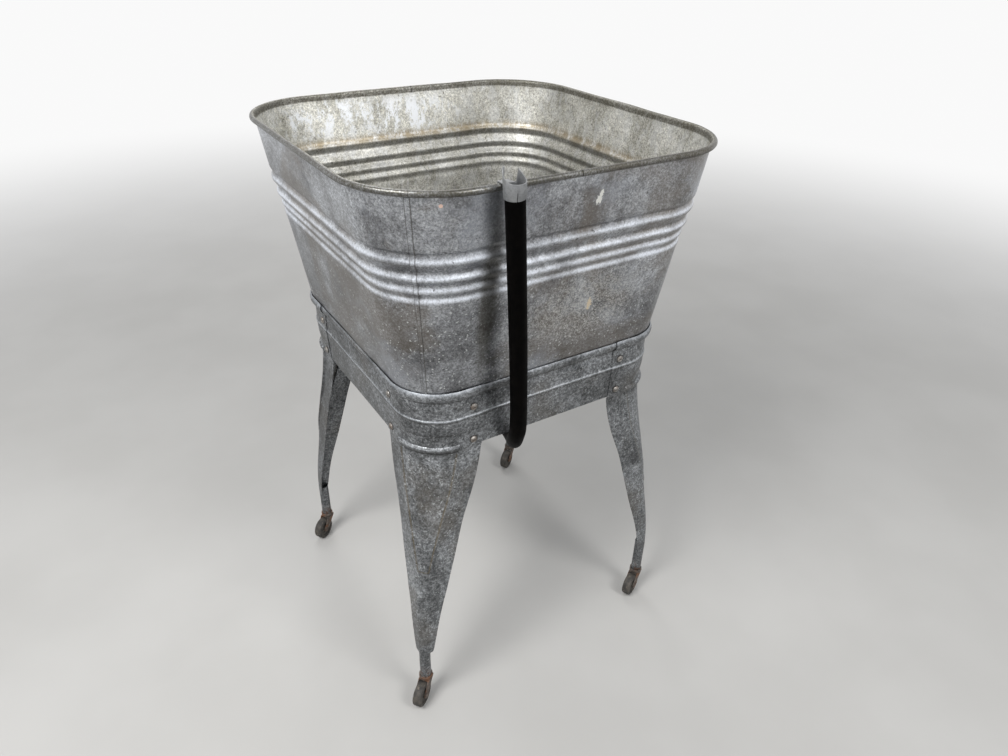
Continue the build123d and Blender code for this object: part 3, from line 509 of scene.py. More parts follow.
def panel_dirt_and_ledge_shade(f, colour, grain):
    """The panel's outline in the attribute's red, and the shade under ledges in its green."""
    # Red holds the dirt line along the panel, green the painted shade under the ledge and in the
    # recess.
    stored = f.add("ShaderNodeSeparateColor")
    f.feed(stored.inputs[0], f.add("ShaderNodeAttribute", attribute_name="dirt").outputs["Color"])
    outline = f.both(stored.outputs[0], f.pick(grain, *grain_range, 0.5, 0.8))
    colour = f.mix(outline, colour, (0.115, 0.092, 0.055))
    return f.mix(f.both(stored.outputs[1], 0.70), colour, (0.040, 0.040, 0.038))


print("creases at", creases)

# %% [markdown]
# The stand's finish adds bloom, painted shade and rust. The painted shade is deeper on the
# legs behind, which stand in the tub's own shadow, and the front leg is painted a little
# paler, as painted light.
# %% Zinc of the stand
def zinc_stand(name):
    f = Finish(name)
    height = f.axis("Z")
    colour, body, grain = zinc_base(f, (0.105, 0.109, 0.113), (0.275, 0.286, 0.298), 17.0, 0.36)
    colour = f.mix(f.pick(f.noise(9.0, 6.0, 0.62), 0.50, 0.68, 0.5), colour, (0.120, 0.105, 0.085))
    # The bead's crest is painted pale: partly rubbed metal, partly a painted highlight.
    bead = f.both(f.near(height, bead_crest, 0.0060), f.pick(body, 0.36, 0.6, 0.55, 0.15))
    colour = f.mix(bead, colour, (0.48, 0.51, 0.55))
    # The ridge's crest is painted pale the same way: rubbed metal and a painted highlight.
    ridge = f.both(f.near(height, ridge_crest, 0.0016), f.pick(grain, 0.3, 0.6, 0.6, 0.2))
    colour = f.mix(ridge, colour, (0.50, 0.53, 0.56))
    # Painted shade in the creases below the bead and the ridge.
    for crease in creases:
        colour = f.mix(f.both(f.near(height, crease, 0.0020), 0.55), colour, crease_shade_colour)
    colour = panel_dirt_and_ledge_shade(f, screw_head_shadows(f, colour), grain)
    for scale, share, strength in ((240.0, 0.55, 0.75), (130.0, 0.20, 0.65)):
        bloom = f.both(f.flecks(scale, share, 0.30), f.pick(body, 0.40, 0.58, strength, 0.35))
        colour = f.mix(bloom, colour, (0.55, 0.57, 0.58))
    # Painted shade on the legs behind, the stand a little darker above z = 0.47, and painted light
    # on the front leg.
    behind = f.both(f.pick(f.axis("Y"), -0.05, 0.15), f.pick(height, 0.47, 0.43))
    lit_front_leg = f.blob((-0.215, -0.215, 0.33), (0.06, 0.06, 0.16), 0.5)
    colour = f.shaded(
        colour, f.pick(behind, 0.0, 1.0, 0.70, 0.93), f.pick(height, 0.44, 0.47, 0.91, 1.0),
        f.pick(lit_front_leg, 0.0, 1.0, 1.22, 1.0),
    )
    rust = f.both(f.pick(height, 0.078, 0.050), f.pick(f.noise(120.0, 6.0, 0.7), 0.46, 0.58, 0.7))
    colour = f.mix(rust, colour, (0.13, 0.060, 0.030))
    bumps = f.bump(body, 0.25, 0.0012, f.bump(grain, 0.2, 0.0005))
    return f.finish(colour, 0.75, f.pick(body, 0.35, 0.65, 0.50, 0.36), bumps)


stand_zinc = zinc_stand("weathered_zinc_stand")
for name, node in nodes.items():
    if name.startswith(("apron_", "leg_")):
        paint(node, stand_zinc)
print("stand finish ready")

# %% [markdown]
# ## Small metal and rubber
# The screws, casters, hook and drain are too small for clouds of weather. Each metal is a
# mottle between a dark and a light tone, with patches of stain over a share of it.
# %% Screws, casters, hook and drain
def plain_metal(name, dark, light, stain, metallic, rough, stain_share):
    """A mottled metal with patches of stain."""
    f = Finish(name)
    mottle = f.noise(160.0, 5.0, 0.6)
    patches = f.noise(70.0, 5.0, 0.6)
    colour = f.mix(f.pick(mottle, 0.35, 0.65), dark, light)
    colour = f.mix(f.pick(patches, 0.46, 0.62, stain_share), colour, stain)
    normal = f.bump(mottle, 0.3, 0.0006)
    return f.finish(colour, metallic, f.pick(mottle, 0.3, 0.7, rough, rough + 0.2), normal)


screw_steel = plain_metal(
    "screw_steel", (0.18, 0.165, 0.15), (0.42, 0.41, 0.39), (0.19, 0.13, 0.09), 0.8, 0.34, 0.4
)
rusty_steel = plain_metal(
    "rusty_steel", (0.070, 0.058, 0.050), (0.16, 0.13, 0.11), (0.17, 0.075, 0.035), 0.35, 0.6, 0.8
)
hook_sheet = plain_metal(
    "hook_sheet", (0.18, 0.185, 0.19), (0.25, 0.255, 0.26), (0.14, 0.135, 0.11), 0.5, 0.42, 0.12
)
drain_brass = plain_metal(
    "drain_brass", (0.26, 0.22, 0.15), (0.46, 0.40, 0.28), (0.20, 0.21, 0.16), 0.8, 0.4, 0.6
)
print("metals:", screw_steel.name, rusty_steel.name, hook_sheet.name, drain_brass.name)

# %% [markdown]
# Old rubber is nearly black with pale dust in its pores. The hose hardly shines at all,
# so its specular level is turned down on the shader itself. Every finish is then put on
# the CAD pieces that wear it, found by the start of their names.
# %% Rubber, and the small pieces that wear each finish
def rubber(name, dark, light, dust, rough):
    """A dark rubber with dust."""
    f = Finish(name)
    mottle = f.noise(90.0, 5.0, 0.6)
    grime = f.noise(240.0, 4.0, 0.6)
    colour = f.mix(f.pick(mottle, 0.35, 0.7), dark, light)
    colour = f.mix(f.pick(grime, 0.56, 0.72, 0.5), colour, dust)
    worn = f.pick(mottle, 0.3, 0.7, rough, rough + 0.15)
    return f.finish(colour, 0.0, worn, f.bump(grime, 0.2, 0.0004))


hose_rubber = rubber(
    "hose_rubber", (0.0010, 0.0009, 0.0009), (0.0022, 0.0018, 0.0016),
    (0.004, 0.0032, 0.0028), 0.40,
)
hose_rubber.node_tree.nodes["Principled BSDF"].inputs["Specular IOR Level"].default_value = 0.02
wheel_rubber = rubber(
    "wheel_rubber", (0.028, 0.026, 0.024), (0.080, 0.070, 0.058), (0.26, 0.22, 0.17), 0.6
)
gasket_rubber = rubber(
    "gasket_rubber", (0.020, 0.018, 0.017), (0.05, 0.045, 0.04), (0.10, 0.09, 0.08), 0.7
)
paint(hose, hose_rubber)
finish_of = {
    "screws_": screw_steel, "nuts_": screw_steel, "socket_": rusty_steel, "fork_": rusty_steel,
    "axle_": rusty_steel, "wheel_": wheel_rubber, "drain_flange": drain_brass,
    "drain_gasket": gasket_rubber, "drain_locknut": drain_brass, "drain_elbow": drain_brass,
    "hose_clamp": screw_steel, "hose_hook": hook_sheet,
}
for start, material in finish_of.items():
    for name, node in nodes.items():
        if name.startswith(start):
            paint(node, material)
print(len(finish_of), "kinds of small piece painted")

# %% [markdown]
# ## Sheet metal kit
# The tub and the stand are thin sheet, bent and rolled. A sheet piece is made in the same
# four moves each time: draw its section as a chain of points, round the bends with a
# vertex bevel, sweep the chain by spinning it round each corner and extruding it along
# each side, and give the surface its thickness. These are the tools for the first three.
# %% Sheet metal kit: draw and sweep
up = Vector((0, 0, 1))


def only(piece):
    """Select and activate one object."""
    bpy.ops.object.select_all(action="DESELECT")
    piece.select_set(True)
    bpy.context.view_layer.objects.active = piece


def begin(name, start):
    """A new object in edit mode that holds one selected vertex."""
    bpy.ops.object.select_all(action="DESELECT")
    bpy.ops.mesh.primitive_plane_add(size=0.01, location=(0, 0, 0))
    piece = bpy.context.object
    piece.name = piece.data.name = name
    bpy.ops.object.mode_set(mode="EDIT")
    bpy.ops.mesh.select_mode(type="VERT")
    bpy.ops.mesh.select_all(action="SELECT")
    bpy.ops.mesh.merge(type="CENTER")
    bpy.ops.transform.translate(value=start)
    return piece


def draw(points, step=1.0):
    """Extrude the selected vertex from point to point, in steps no longer than step."""
    for here, there in zip(points, points[1:]):
        move = Vector(there) - Vector(here)
        count = max(1, math.ceil(move.length / step))
        for _ in range(count):
            bpy.ops.mesh.extrude_vertices_move(TRANSFORM_OT_translate={"value": move / count})


def spin(steps, degrees, centre, axis=up):
    """Sweep what is selected round an axis, by the right-hand rule."""
    bpy.ops.mesh.spin(steps=steps, angle=-math.radians(degrees), center=centre, axis=axis)


def run_along(steps, move):
    """Sweep what is selected straight on, in equal steps."""
    bpy.ops.mesh.extrude_repeat(steps=steps, offset=Vector(move) / steps)


def choose(piece, test):
    """Select the vertices whose place passes a test, and nothing else."""
    bpy.ops.mesh.select_all(action="DESELECT")
    mesh = bmesh.from_edit_mesh(piece.data)
    for vertex in mesh.verts:
        if test(vertex.co):
            vertex.select_set(True)
    mesh.select_flush(True)
    bmesh.update_edit_mesh(piece.data)


print("draw, spin and run_along ready")

# %% [markdown]
# A swept surface still has no thickness. Its doubles are merged and its faces turned
# outward first, because on a closed shell that would turn the inner wall round. Then a
# Displace modifier with a slow cloud pattern adds the small dents and waves that keep old
# sheet from looking like plastic, and a Solidify modifier gives the sheet its thickness.
# %% Sheet metal kit: dents and thickness
def apply(piece, kind, **settings):
    """Add a modifier, set it and apply it."""
    only(piece)
    modifier = piece.modifiers.new(kind.lower(), kind)
    for name, value in settings.items():
        setattr(modifier, name, value)
    bpy.ops.object.modifier_apply(modifier=modifier.name)


def close_edit(piece):
    """Merge what meets, leave edit mode and turn the faces away from the middle."""
    bpy.ops.mesh.select_all(action="SELECT")
    bpy.ops.mesh.remove_doubles(threshold=0.00002)
    bpy.ops.mesh.normals_make_consistent(inside=False)
    bpy.ops.object.mode_set(mode="OBJECT")
    facing = sum(p.area * p.normal.dot((p.center.x, p.center.y, 0)) for p in piece.data.polygons)
    if facing < 0:
        piece.data.flip_normals()
    return piece


dent_pattern = bpy.data.textures.new("dents", "CLOUDS")
dent_pattern.noise_scale = 0.09
dent_pattern.noise_depth = 2


def thicken(piece, thickness, side, dent, degrees=35):
    """Dent a swept surface, give it the sheet's thickness on one side and smooth it."""
    if dent:
        apply(piece, "DISPLACE", texture=dent_pattern, texture_coords="LOCAL",
              strength=dent, mid_level=0.5)
    apply(piece, "SOLIDIFY", thickness=thickness, offset=side, use_even_offset=True)
    only(piece)
    bpy.ops.object.shade_smooth_by_angle(angle=math.radians(degrees))


print("dents of", dent_pattern.noise_scale, "m ready")

# %% [markdown]
# What repeats is modelled once and copied. Each finished piece gets its finish and the
# body that it rides on, so that it moves with that body, and the CAD nodes that it stands
# for are hidden.
# %% Sheet metal kit: copies and duties
def join(first, *others):
    """Make one object of several."""
    only(first)
    for other in others:
        other.select_set(True)
    bpy.ops.object.join()


def turned_copy(piece, name, degrees):
    """A copy with its own mesh, turned about the tub's upright axis."""
    twin = piece.copy()
    twin.data = piece.data.copy()
    twin.name = twin.data.name = name
    scene.collection.objects.link(twin)
    twin.data.transform(Matrix.Rotation(math.radians(degrees), 4, "Z"))
    return twin


def stands_for(piece, node_names, material, body="tub"):
    """Give a piece its finish and its body, and hide the CAD nodes that it stands for."""
    paint(piece, material)
    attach(piece, body)
    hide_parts(*node_names)
    print(piece.name, len(piece.data.polygons), "faces")


print("sheet metal kit ready")

# %% [markdown]
# ## Tub wall
# The wall is two bent halves of one thin sheet that meet in upright laps at the front and
# back corners. From the folded foot the section leans out to a knee, crosses four pressed
# ribs, leans out again and rolls over a wire at the rim. The section is the inside face
# of the sheet, as half widths and heights, so the thickness grows outward. The ribs are
# shares of the straight slope that they are pressed into.
# %% Section of the wall
sheet = 0.0008
curl_half, curl_z, curl_radius, curl_degrees = 0.26275, 0.83405, 0.00395, 302
foot_fold = [(0.1930, 0.4880), (0.1892, 0.4880)]
rib_foot, shoulder = (0.2334, 0.689), (0.2485, 0.765)
rib_depth = 0.0066
rib_shares = (
    (0.895, 0.07), (0.796, -0.48), (0.711, 0.12), (0.599, -0.55),
    (0.487, 0.39), (0.368, -0.55), (0.197, 0.43), (0.059, -0.53),
)
bends = [(0.2119, 0.560), rib_foot]
for down, out in rib_shares:
    half = shoulder[0] + (rib_foot[0] - shoulder[0]) * down + rib_depth * out
    bends.append((half, shoulder[1] + (rib_foot[1] - shoulder[1]) * down))
bends.append(shoulder)
lean = math.atan2(curl_half - curl_radius - shoulder[0], curl_z - shoulder[1])
wall_top = (curl_half - curl_radius * math.cos(lean), curl_z - curl_radius * math.sin(lean))
section = [*foot_fold, *bends, wall_top]
print(len(section), "points in the section, leaning", round(math.degrees(lean), 1), "degrees")

# %% [markdown]
# Each half starts as its section at the front corner. It is spun back to the seam, and
# then swept along a side, round a corner, along the next side and on to the other seam.
# %% One half of the wall
def round_bends(piece):
    """Round the section where it bends, with a bevel of its vertices."""
    heights = [z for _, z in bends]
    choose(piece, lambda p: any(abs(p.z - z) < 0.00005 for z in heights))
    bpy.ops.mesh.bevel(affect="VERTICES", offset=0.0030, segments=6)


def wall_half(name, outward, along, turn, to_seam, to_far_seam):
    """Sweep one half. turn is 1 or -1, and the last two are degrees to the seams."""
    outward, along = Vector(outward), Vector(along)
    front = Vector((-corner, -corner, 0))

    def at(half, z):
        return front + outward * (half - corner) + up * z

    def in_section(p):
        return abs((p - front).dot(along)) < 0.00001

    piece = begin(name, at(*section[0]))
    draw([at(*p) for p in section], 0.012)
    spin(18, -curl_degrees, at(curl_half, curl_z), outward.cross(up))
    round_bends(piece)
    choose(piece, in_section)
    spin(11, -turn * to_seam, front)
    choose(piece, in_section)
    along_next = Matrix.Rotation(math.radians(turn * 90), 3, "Z") @ along
    run_along(26, along * corner * 2)
    spin(20, turn * 90, front + along * corner * 2)
    run_along(26, along_next * corner * 2)
    spin(10, turn * to_far_seam, front + (along + along_next) * corner * 2)
    return close_edit(piece)


wall_left = wall_half("wall_left", (-1, 0, 0), (0, 1, 0), -1, 50, 40)
wall_right = wall_half("wall_right", (0, -1, 0), (1, 0, 0), 1, 40, 50)
print(wall_left.name, len(wall_left.data.polygons), "faces")

# %% [markdown]
# A narrow strip, just outside the wall, laps over each seam. It belongs to the right half,
# so the three are joined before the sheet gets its thickness.
# %% Laps over the seams
lap_width = 3.2


def lap_strip(name, seam_degrees):
    """The strip that laps over a seam. lap_width is in degrees round the corner."""
    sign = -1 if seam_degrees > 180 else 1
    axis = Vector((sign * corner, sign * corner, 0))
    start = math.radians(seam_degrees - lap_width / 2)
    outward = Vector((math.cos(start), math.sin(start), 0))
    places = [
        axis + outward * (half - corner + sheet * 1.2) + up * z
        for half, z in [(0.1905, 0.4925), *bends, (0.2578, 0.8285)]
    ]
    piece = begin(name, places[0])
    draw(places, 0.012)
    round_bends(piece)
    bpy.ops.mesh.select_all(action="SELECT")
    spin(2, lap_width, axis)
    return close_edit(piece)


join(wall_right, lap_strip("lap_front", 230), lap_strip("lap_back", 50))
for piece, node_name in ((wall_left, "tub_wall_left"), (wall_right, "tub_wall_right")):
    thicken(piece, sheet, 1.0, 0.0016)
    stands_for(piece, [node_name], wall_zinc)

# %% [markdown]
# ## Apron strips
# Between the legs, four straight strips close the stand. Each has a rolled bead at the
# top, a shallow groove under it and a pressed ridge half way down. One strip is drawn as
# its section and extruded along its side, and the other three are turned copies.
# %% Four aprons
bead_half, bead_z = 0.2069, 0.5519
strip_bead, leg_bead = 0.0077, 0.0099


def bead_start(radius, degrees):
    """Half width and height of a point on the rolled bead."""
    turn = math.radians(degrees)
    return (bead_half + radius * math.cos(turn), bead_z + radius * math.sin(turn))


apron_reach = 0.138


def apron_at(half, z):
    """A point of the section at the strip's left end."""
    return Vector((-apron_reach, -half, z))


apron = begin("apron", apron_at(*bead_start(strip_bead, 40)))
spin(12, -114, apron_at(bead_half, bead_z), Vector((0, -1, 0)).cross(up))
apron_section = (
    bead_start(strip_bead, -74), (0.2080, 0.5419), (0.2078, 0.5400), (0.2078, 0.5365),
    (0.2086, 0.5350), (0.2086, 0.5146), (0.2092, 0.5136), (0.2101, 0.5126),
    (0.2102, 0.5114), (0.2095, 0.5095), (0.2069, 0.4605),
)
draw([apron_at(*p) for p in apron_section], 0.010)
bpy.ops.mesh.select_all(action="SELECT")
run_along(28, (2 * apron_reach, 0, 0))
close_edit(apron)
thicken(apron, 0.0008, -1.0, 0.0012)
for name, degrees in (("right", 90), ("back", 180), ("left", 270)):
    strip = turned_copy(apron, f"strip_{name}", degrees)
    stands_for(strip, [f"apron_{name}"], stand_zinc)
apron.name = "strip_hose_side"
stands_for(apron, ["apron_hose_side"], stand_zinc)

# %% [markdown]
# ## Legs
# A leg is one pressed sheet. At the top it carries the stand's bead and ridge round the
# corner; below the shoulder it tapers into a channel that swings outward, and at the foot
# it is rolled into a tube for the caster. The nose carries a raised tapered panel under a
# ledge. Such a shape has no one section to sweep, so it is modelled as a stack of level
# outlines, and the tables below say how they change on the way down.
# %% Tables of the leg
# Down the channel: height, swing outward, reach of the flanks and corner radius
channel_shares = (
    (1.000, 0.000, 1.000, 1.000), (0.843, 0.145, 0.906, 0.908), (0.671, 0.342, 0.720, 0.680),
    (0.500, 0.534, 0.592, 0.460), (0.357, 0.696, 0.480, 0.340), (0.229, 0.842, 0.366, 0.235),
    (0.129, 0.955, 0.300, 0.190), (0.063, 0.985, 0.258, 0.165), (0.000, 1.000, 0.215, 0.1485),
)
# Height, and degrees from the middle of the nose to the panel's edge
panel_spreads = (
    (0.455, 43.0), (0.420, 40.5), (0.370, 37.0), (0.309, 32.0), (0.266, 27.0), (0.2, 18.0),
)


def along_table(table, key):
    """Smooth values between the rows of a table that is sorted from high to low."""
    keys = [row[0] for row in table]
    i = max(0, min(len(table) - 2, sum(k > key for k in keys) - 1))
    rows = [table[max(0, i - 1)], table[i], table[i + 1], table[min(len(table) - 1, i + 2)]]
    t = min(1.0, max(0.0, (keys[i] - key) / (keys[i] - keys[i + 1])))
    weights = (
        (-t + 2 * t**2 - t**3) / 2, (2 - 5 * t**2 + 3 * t**3) / 2,
        (t + 4 * t**2 - 3 * t**3) / 2, (-(t**2) + t**3) / 2,
    )
    return [sum(w * row[k] for w, row in zip(weights, rows)) for k in range(1, len(table[0]))]


def panel_spread(z):
    return along_table(panel_spreads, min(0.455, max(0.2, z)))[0]


print("the panel spreads", round(panel_spread(0.35), 1), "degrees each way at z = 0.35")

# %% [markdown]
# The rows come in three groups: round the bead, down the band with its ridge and ledge,
# and down the channel. They lie closer together where the shape turns sharply, and round
# the panel's tip.
# %% Rows of the leg's grid
def band_row(z, half, step=0.0):
    """Height, half width, end of the face, corner radius and recess of the corner."""
    return (z, half, 0.111, half - corner, step)


leg_rows = []
for degrees in (43, 30, 15, 0, -15, -30, -45, -58, -70):
    half, z = bead_start(leg_bead, degrees)
    leg_rows.append(band_row(z, half))
leg_rows += [band_row(0.5419, 0.2091), band_row(0.5405, 0.2091)]
leg_rows += [band_row(z, 0.2097) for z in (0.5390, 0.5270, 0.5170, 0.5146)]
leg_rows += [band_row(0.5136, 0.2103), band_row(0.5126, 0.2113), band_row(0.5114, 0.2115)]
leg_rows += [
    band_row(z, 0.2107 - 0.05325 * (0.5112 - z), step)
    for z, step in (
        (0.5095, 0), (0.5000, 0), (0.4910, 0), (0.4882, 0), (0.4868, 0.0012),
        (0.4780, 0.0009), (0.4700, 0.0009), (0.4684, 0.0009), (0.4668, 0.0009), (0.4652, 0.0009),
        (0.4634, 0.0008), (0.4616, 0.0006), (0.4600, 0.0004),
    )
]
leg_rows += [band_row(0.4585, 0.2072, 0.0002), band_row(0.4570, 0.2064, 0.0001)]
foot_z, channel_top = 0.105, 0.350
heights = [foot_z + channel_top * (1 - count / 23) for count in range(24)]
heights += [0.2700, 0.2670, 0.2640, 0.2610, 0.2580]
for z in sorted(heights, reverse=True):
    spread, width, bend = along_table(channel_shares, (z - foot_z) / channel_top)
    half = 0.2056 + 0.0234 * spread
    leg_rows.append((z, half, half - 0.0946 * width, 0.0606 * bend, 0.0))
print(len(leg_rows), "rows")

# %% [markdown]
# Each outline is drawn as a flat face, a corner spun in five parts and the other face, and
# neighbouring outlines are bridged. Two of the five parts are narrow bands of close
# columns that follow the panel's edges, so that the relief has enough vertices there. All
# outlines have as many vertices, which keeps the bridges in straight columns.
# %% Lay the rows and bridge them
edge_inside, edge_outside = 0.0046, 0.0012


def lay_row(z, half, end, bend, step):
    """One level outline: a flat face, the corner in five spins and the other face."""
    inner = bend - half
    flat_end = inner + 0.1 * (-end - inner)
    within = min(edge_inside, 0.75 * math.radians(panel_spread(z)) * bend)
    edge = math.degrees((within + edge_outside) / bend)
    nose = 2 * (panel_spread(z) - math.degrees(within / bend))
    side = (90 - nose) / 2 - edge
    quarter = abs(flat_end + end) / 3.999  # a hair long, so that draw takes four steps
    bpy.ops.mesh.select_all(action="DESELECT")
    bpy.ops.mesh.primitive_plane_add(size=0.001, location=(-half, -end, z))
    bpy.ops.mesh.merge(type="CENTER")
    draw([(-half, -end, z), (-half, flat_end, z)], quarter)
    draw([(-half, flat_end, z), (step - half, inner, z)])
    for steps, degrees in ((4, side), (6, edge), (8, nose), (6, edge), (4, side)):
        spin(steps, degrees, (inner, inner, z))
    draw([(inner, step - half, z), (flat_end, -half, z)])
    draw([(flat_end, -half, z), (-end, -half, z)], quarter)


leg = begin("leg_sheet", (0, 0, 0))
bpy.ops.mesh.delete(type="VERT")
for row in leg_rows:
    lay_row(*row)
for (upper, *_), (lower, *_) in zip(leg_rows, leg_rows[1:]):
    choose(leg, lambda p: abs(p.z - upper) < 0.00002 or abs(p.z - lower) < 0.00002)
    bpy.ops.mesh.bridge_edge_loops()
close_edit(leg)
apply(leg, "SUBSURF", levels=1, render_levels=1)
print(leg.name, len(leg.data.polygons), "faces")

# %% [markdown]
# The ledge and the panel stand only a few millimetres proud of the sheet, and their
# outline is rounded. Insets would fold over at the panel's narrow tip, so the relief is
# painted as a vertex group instead: each vertex gets its share of the full height from
# its distance to the outline, and one Displace modifier lifts the sheet by that share.
# The same walk over the vertices stores where dirt has settled along the panel, and where
# shade is painted under the ledge and in the recess of the corner, as a colour attribute
# that the stand's finish reads.
# %% Relief of the ledge and the bare panel on the nose
panel_tip, tip_radius, panel_step = 0.2605, 0.006, 0.0014
full_relief, ledge_degrees = 0.0042, 46


def ease(value, low, high):
    """0 below low, 1 above high and smooth between."""
    t = min(1.0, max(0.0, (value - low) / (high - low)))
    return t * t * (3 - 2 * t)


def nose_place(p):
    """Degrees from the middle of the nose, and the corner radius at that height."""
    i = next((k for k in range(len(leg_rows) - 1) if leg_rows[k + 1][0] <= p.z), len(leg_rows) - 2)
    upper, lower = leg_rows[i], leg_rows[i + 1]
    t = (upper[0] - p.z) / (upper[0] - lower[0])
    bend = upper[3] + (lower[3] - upper[3]) * t
    inner = bend - (upper[1] + (lower[1] - upper[1]) * t)
    return abs(math.degrees(math.atan2(p.y - inner, p.x - inner)) % 360 - 225), bend


def relief(p):
    """Height of the ledge and panel over the plain sheet, the dirt line and the painted shade."""
    angle, bend = nose_place(p)
    across = math.radians(panel_spread(p.z) - angle) * bend
    short = max(0, tip_radius - across), max(0, tip_radius - (p.z - panel_tip))
    inside = tip_radius - math.hypot(*short)
    below = 1 - ease(p.z, 0.4530, 0.4565)
    panel = panel_step * ease(inside, -0.0012, 0.0008)
    panel += panel_step * (ease(inside, -0.0008, 0.0008) - ease(inside, 0.0018, 0.0038))
    panel *= 0.3 + 0.7 * ease(p.z, 0.2600, 0.3000)
    line = min(1, max(0, 1.4 - abs(inside - 0.0034) / 0.0011))
    over = ease(math.radians(ledge_degrees - angle) * bend, -0.001, 0.004)
    ledge = full_relief * ease(p.z, 0.4555, 0.4650) * (1 - ease(p.z, 0.4656, 0.4684))
    # Painted shade under the ledge and in the recess of the corner.
    shade = ease(p.z, 0.4500, 0.4560) * (1 - ease(p.z, 0.4600, 0.4640)) * over
    shade = max(shade, ease(p.z, 0.4855, 0.4868) * (1 - ease(p.z, 0.4872, 0.4884)))
    return max(panel * below, ledge * over), line * below, shade


print("plain nose at z = 0.2, relief", relief(Vector((-0.22, -0.22, 0.2)))[0])

# %% [markdown]
# One Displace modifier with the vertex group lifts the sheet along its normals, and after
# it come the dents and the thickness.
# %% Raise the relief and thicken the leg
def store_dirt_and_shade(piece, colours):
    """Store a colour for each vertex, as four numbers each, for the stand's finish."""
    piece.data.color_attributes.new(name="dirt", type="FLOAT_COLOR", domain="POINT")
    piece.data.color_attributes["dirt"].data.foreach_set("color", colours)


group = leg.vertex_groups.new(name="relief")
dirt_and_shade_colours = []
for vertex in leg.data.vertices:
    height, line, shade = relief(vertex.co) if vertex.co.z < 0.490 else (0, 0, 0)
    group.add([vertex.index], height / full_relief, "REPLACE")
    dirt_and_shade_colours += (line, shade, 0, 1)
store_dirt_and_shade(leg, dirt_and_shade_colours)
apply(leg, "DISPLACE", vertex_group="relief", strength=full_relief, mid_level=0.0)
thicken(leg, 0.001, -1.0, 0.0012)
print(leg.name, len(leg.data.polygons), "faces, of both sides")

# %% [markdown]
# At the foot the sheet is rolled almost shut. The tube is a straight line spun round its
# own axis, and the slit that stays open looks toward the middle of the tub. Joining fills
# a missing colour attribute with white, which would be dirt and painted shade all over, so
# the tube gets its own clean one first. The finished leg is then copied to the other three
# corners.
# %% Rolled tube at the foot, and the four legs
tube_middle, tube_radius, slit = Vector((-0.220, -0.220, 0)), 0.00875, 15
slit_turn = math.radians(45 + slit / 2)
tube_start = tube_middle + tube_radius * Vector((math.cos(slit_turn), math.sin(slit_turn), 0))
tube_line = [tube_start + up * 0.118, tube_start + up * 0.0468]
tube = begin("tube", tube_line[0])
draw(tube_line, 0.012)
bpy.ops.mesh.select_all(action="SELECT")
spin(36, 360 - slit, tube_middle)
close_edit(tube)
thicken(tube, 0.001, -1.0, 0.0)
store_dirt_and_shade(tube, [0, 0, 0, 1] * len(tube.data.vertices))
join(leg, tube)
for name, degrees in (("right", 90), ("back", 180), ("left", 270)):
    twin = turned_copy(leg, f"pressed_leg_{name}", degrees)
    stands_for(twin, [f"leg_{name}"], stand_zinc)
leg.name = "pressed_leg_front"
stands_for(leg, ["leg_front"], stand_zinc)

# %% [markdown]
# ## Small hardware
# The screws, casters, hook and drain fittings have the right shape in the CAD model, but
# their edges are perfectly sharp and their round faces are flat facets. A merged copy of
# each screw, collar and caster part, and of the hook, gets a small bevel on its sharp edges
# and smooth shading, so that every edge catches a thread of light as worn metal does.
# %% Soften the edges of the hardware
def soften(node_name, name, width, material, body="tub"):
    """Bevel the sharp edges of a copy of a CAD piece, which then stands for it."""
    piece = bpy.data.objects.new(name, nodes[node_name].data.copy())
    piece.data.name = name
    piece.data.materials.clear()
    scene.collection.objects.link(piece)
    only(piece)
    bpy.ops.object.mode_set(mode="EDIT")
    bpy.ops.mesh.select_all(action="SELECT")
    bpy.ops.mesh.remove_doubles(threshold=0.000005)
    bpy.ops.mesh.tris_convert_to_quads(face_threshold=0.01, shape_threshold=0.5)
    bpy.ops.object.mode_set(mode="OBJECT")
    apply(piece, "BEVEL", width=width, segments=2, limit_method="ANGLE",
          angle_limit=math.radians(40))
    bpy.ops.object.shade_smooth_by_angle(angle=math.radians(35))
    stands_for(piece, [node_name], material, body)
    return piece


hardware = (
    ("screws", "slotted_screws", 0.0003, screw_steel, "screw_steel", "tub"),
    ("socket", "collar", 0.0005, rusty_steel, "rusty_steel", "tub"),
    ("fork", "caster_fork", 0.0004, rusty_steel, "rusty_steel", "caster"),
    ("axle", "caster_rivet", 0.0003, rusty_steel, "rusty_steel", "caster"),
    ("wheel", "caster_wheel", 0.0005, wheel_rubber, "wheel_rubber", "roller"),
)
for spot in ("front", "right", "back", "left"):
    for node, name, width, material, slot, body in hardware:
        carrier = body if body == "tub" else f"{body}_{spot}"
        soften(f"{node}_{spot}", f"{name}_{spot}", width, material, carrier)
hook = soften("hose_hook", "rim_hook", 0.0003, hook_sheet)

# %% [markdown]
# ## Floor and light
# The floor is a plain pale disc. Seen edge on, it would end in a hard line, so it fades
# with distance into a glow of the background's own colour.
# %% Floor
scene.view_settings.view_transform = "Standard"
background = (0.95, 0.95, 0.95, 1.0)
fade = (1.2, 4.0)

bpy.ops.object.select_all(action="DESELECT")
bpy.ops.mesh.primitive_circle_add(
    vertices=96, radius=9.0, fill_type="NGON", location=(0, 0, 0)
)
floor = bpy.context.object
floor.name = "floor"
f = Finish("pale_floor")
floor_grain = f.pick(f.noise(3.0, 4.0, 0.5), *grain_range)
paint(floor, f.finish(f.mix(floor_grain, (0.50, 0.49, 0.47), (0.54, 0.53, 0.51)), 0.0, 0.8))
haze = f.add("ShaderNodeEmission")
haze.inputs["Color"].default_value = background
far = f.add("ShaderNodeVectorMath", operation="LENGTH")
f.feed(far.inputs[0], f.place)
blend = f.add("ShaderNodeMixShader")
f.feed(blend.inputs[0], f.pick(far.outputs["Value"], *fade))
f.feed(blend.inputs[1], f.shader.outputs[0])
f.feed(blend.inputs[2], haze.outputs[0])
f.feed(f.tree.nodes["Material Output"].inputs["Surface"], blend.outputs[0])
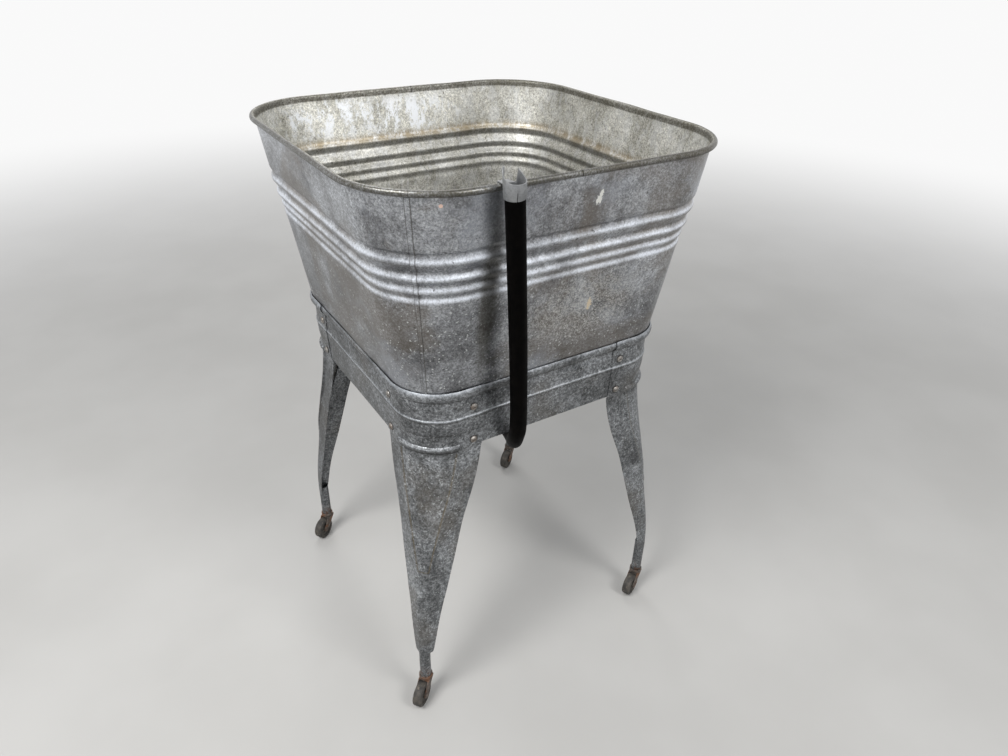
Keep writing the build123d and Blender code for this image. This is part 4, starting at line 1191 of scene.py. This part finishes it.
print("floor fades between", fade, "m")

# %% [markdown]
# Sheet metal shows its shape by what it reflects, and the pale background comes from what
# the camera and the reflections see, not from more light. So the world has two
# brightnesses: a quiet one that lights the tub, and a pale one for camera, glossy and
# transmission rays.
# %% World
world = bpy.data.worlds.new("studio")
scene.world = world
world.use_nodes = True
sky = world.node_tree
sky.nodes.clear()
rays = sky.nodes.new("ShaderNodeLightPath")
seen = rays.outputs["Is Camera Ray"]
for kind in ("Is Glossy Ray", "Is Transmission Ray"):
    either = sky.nodes.new("ShaderNodeMath")
    either.operation = "MAXIMUM"
    sky.links.new(seen, either.inputs[0])
    sky.links.new(rays.outputs[kind], either.inputs[1])
    seen = either.outputs[0]
two_skies = sky.nodes.new("ShaderNodeMixShader")
sky.links.new(seen, two_skies.inputs[0])
for socket, colour, strength in ((1, (0.93, 0.96, 1.0, 1.0), 0.40), (2, background, 1.0)):
    plain_sky = sky.nodes.new("ShaderNodeBackground")
    plain_sky.inputs["Color"].default_value = colour
    plain_sky.inputs["Strength"].default_value = strength
    sky.links.new(plain_sky.outputs[0], two_skies.inputs[socket])
output = sky.nodes.new("ShaderNodeOutputWorld")
sky.links.new(two_skies.outputs[0], output.inputs[0])
print("world has", len(sky.nodes), "nodes")

# %% [markdown]
# A large soft lamp stands above and to the left, a weaker one lights the hose side, and
# one from behind gives the rim and the far legs an edge. Wide discs give soft shadows.
# %% Lamps
aim = Vector((0, 0, 0.6))


def lamp(name, place, size, power):
    """A round area lamp that looks at the middle of the tub."""
    data = bpy.data.lights.new(name, "AREA")
    data.shape = "DISK"
    data.size = size
    data.energy = power
    piece = bpy.data.objects.new(name, data)
    piece.location = place
    piece.rotation_mode = "QUATERNION"
    piece.rotation_quaternion = (aim - Vector(place)).to_track_quat("-Z", "Y")
    scene.collection.objects.link(piece)


lamp("key", (-1.6, -0.5, 2.3), 1.2, 50.0)
lamp("front", (0.5, -1.9, 2.2), 1.0, 24.0)
lamp("back", (0.4, 1.8, 2.4), 1.2, 14.0)
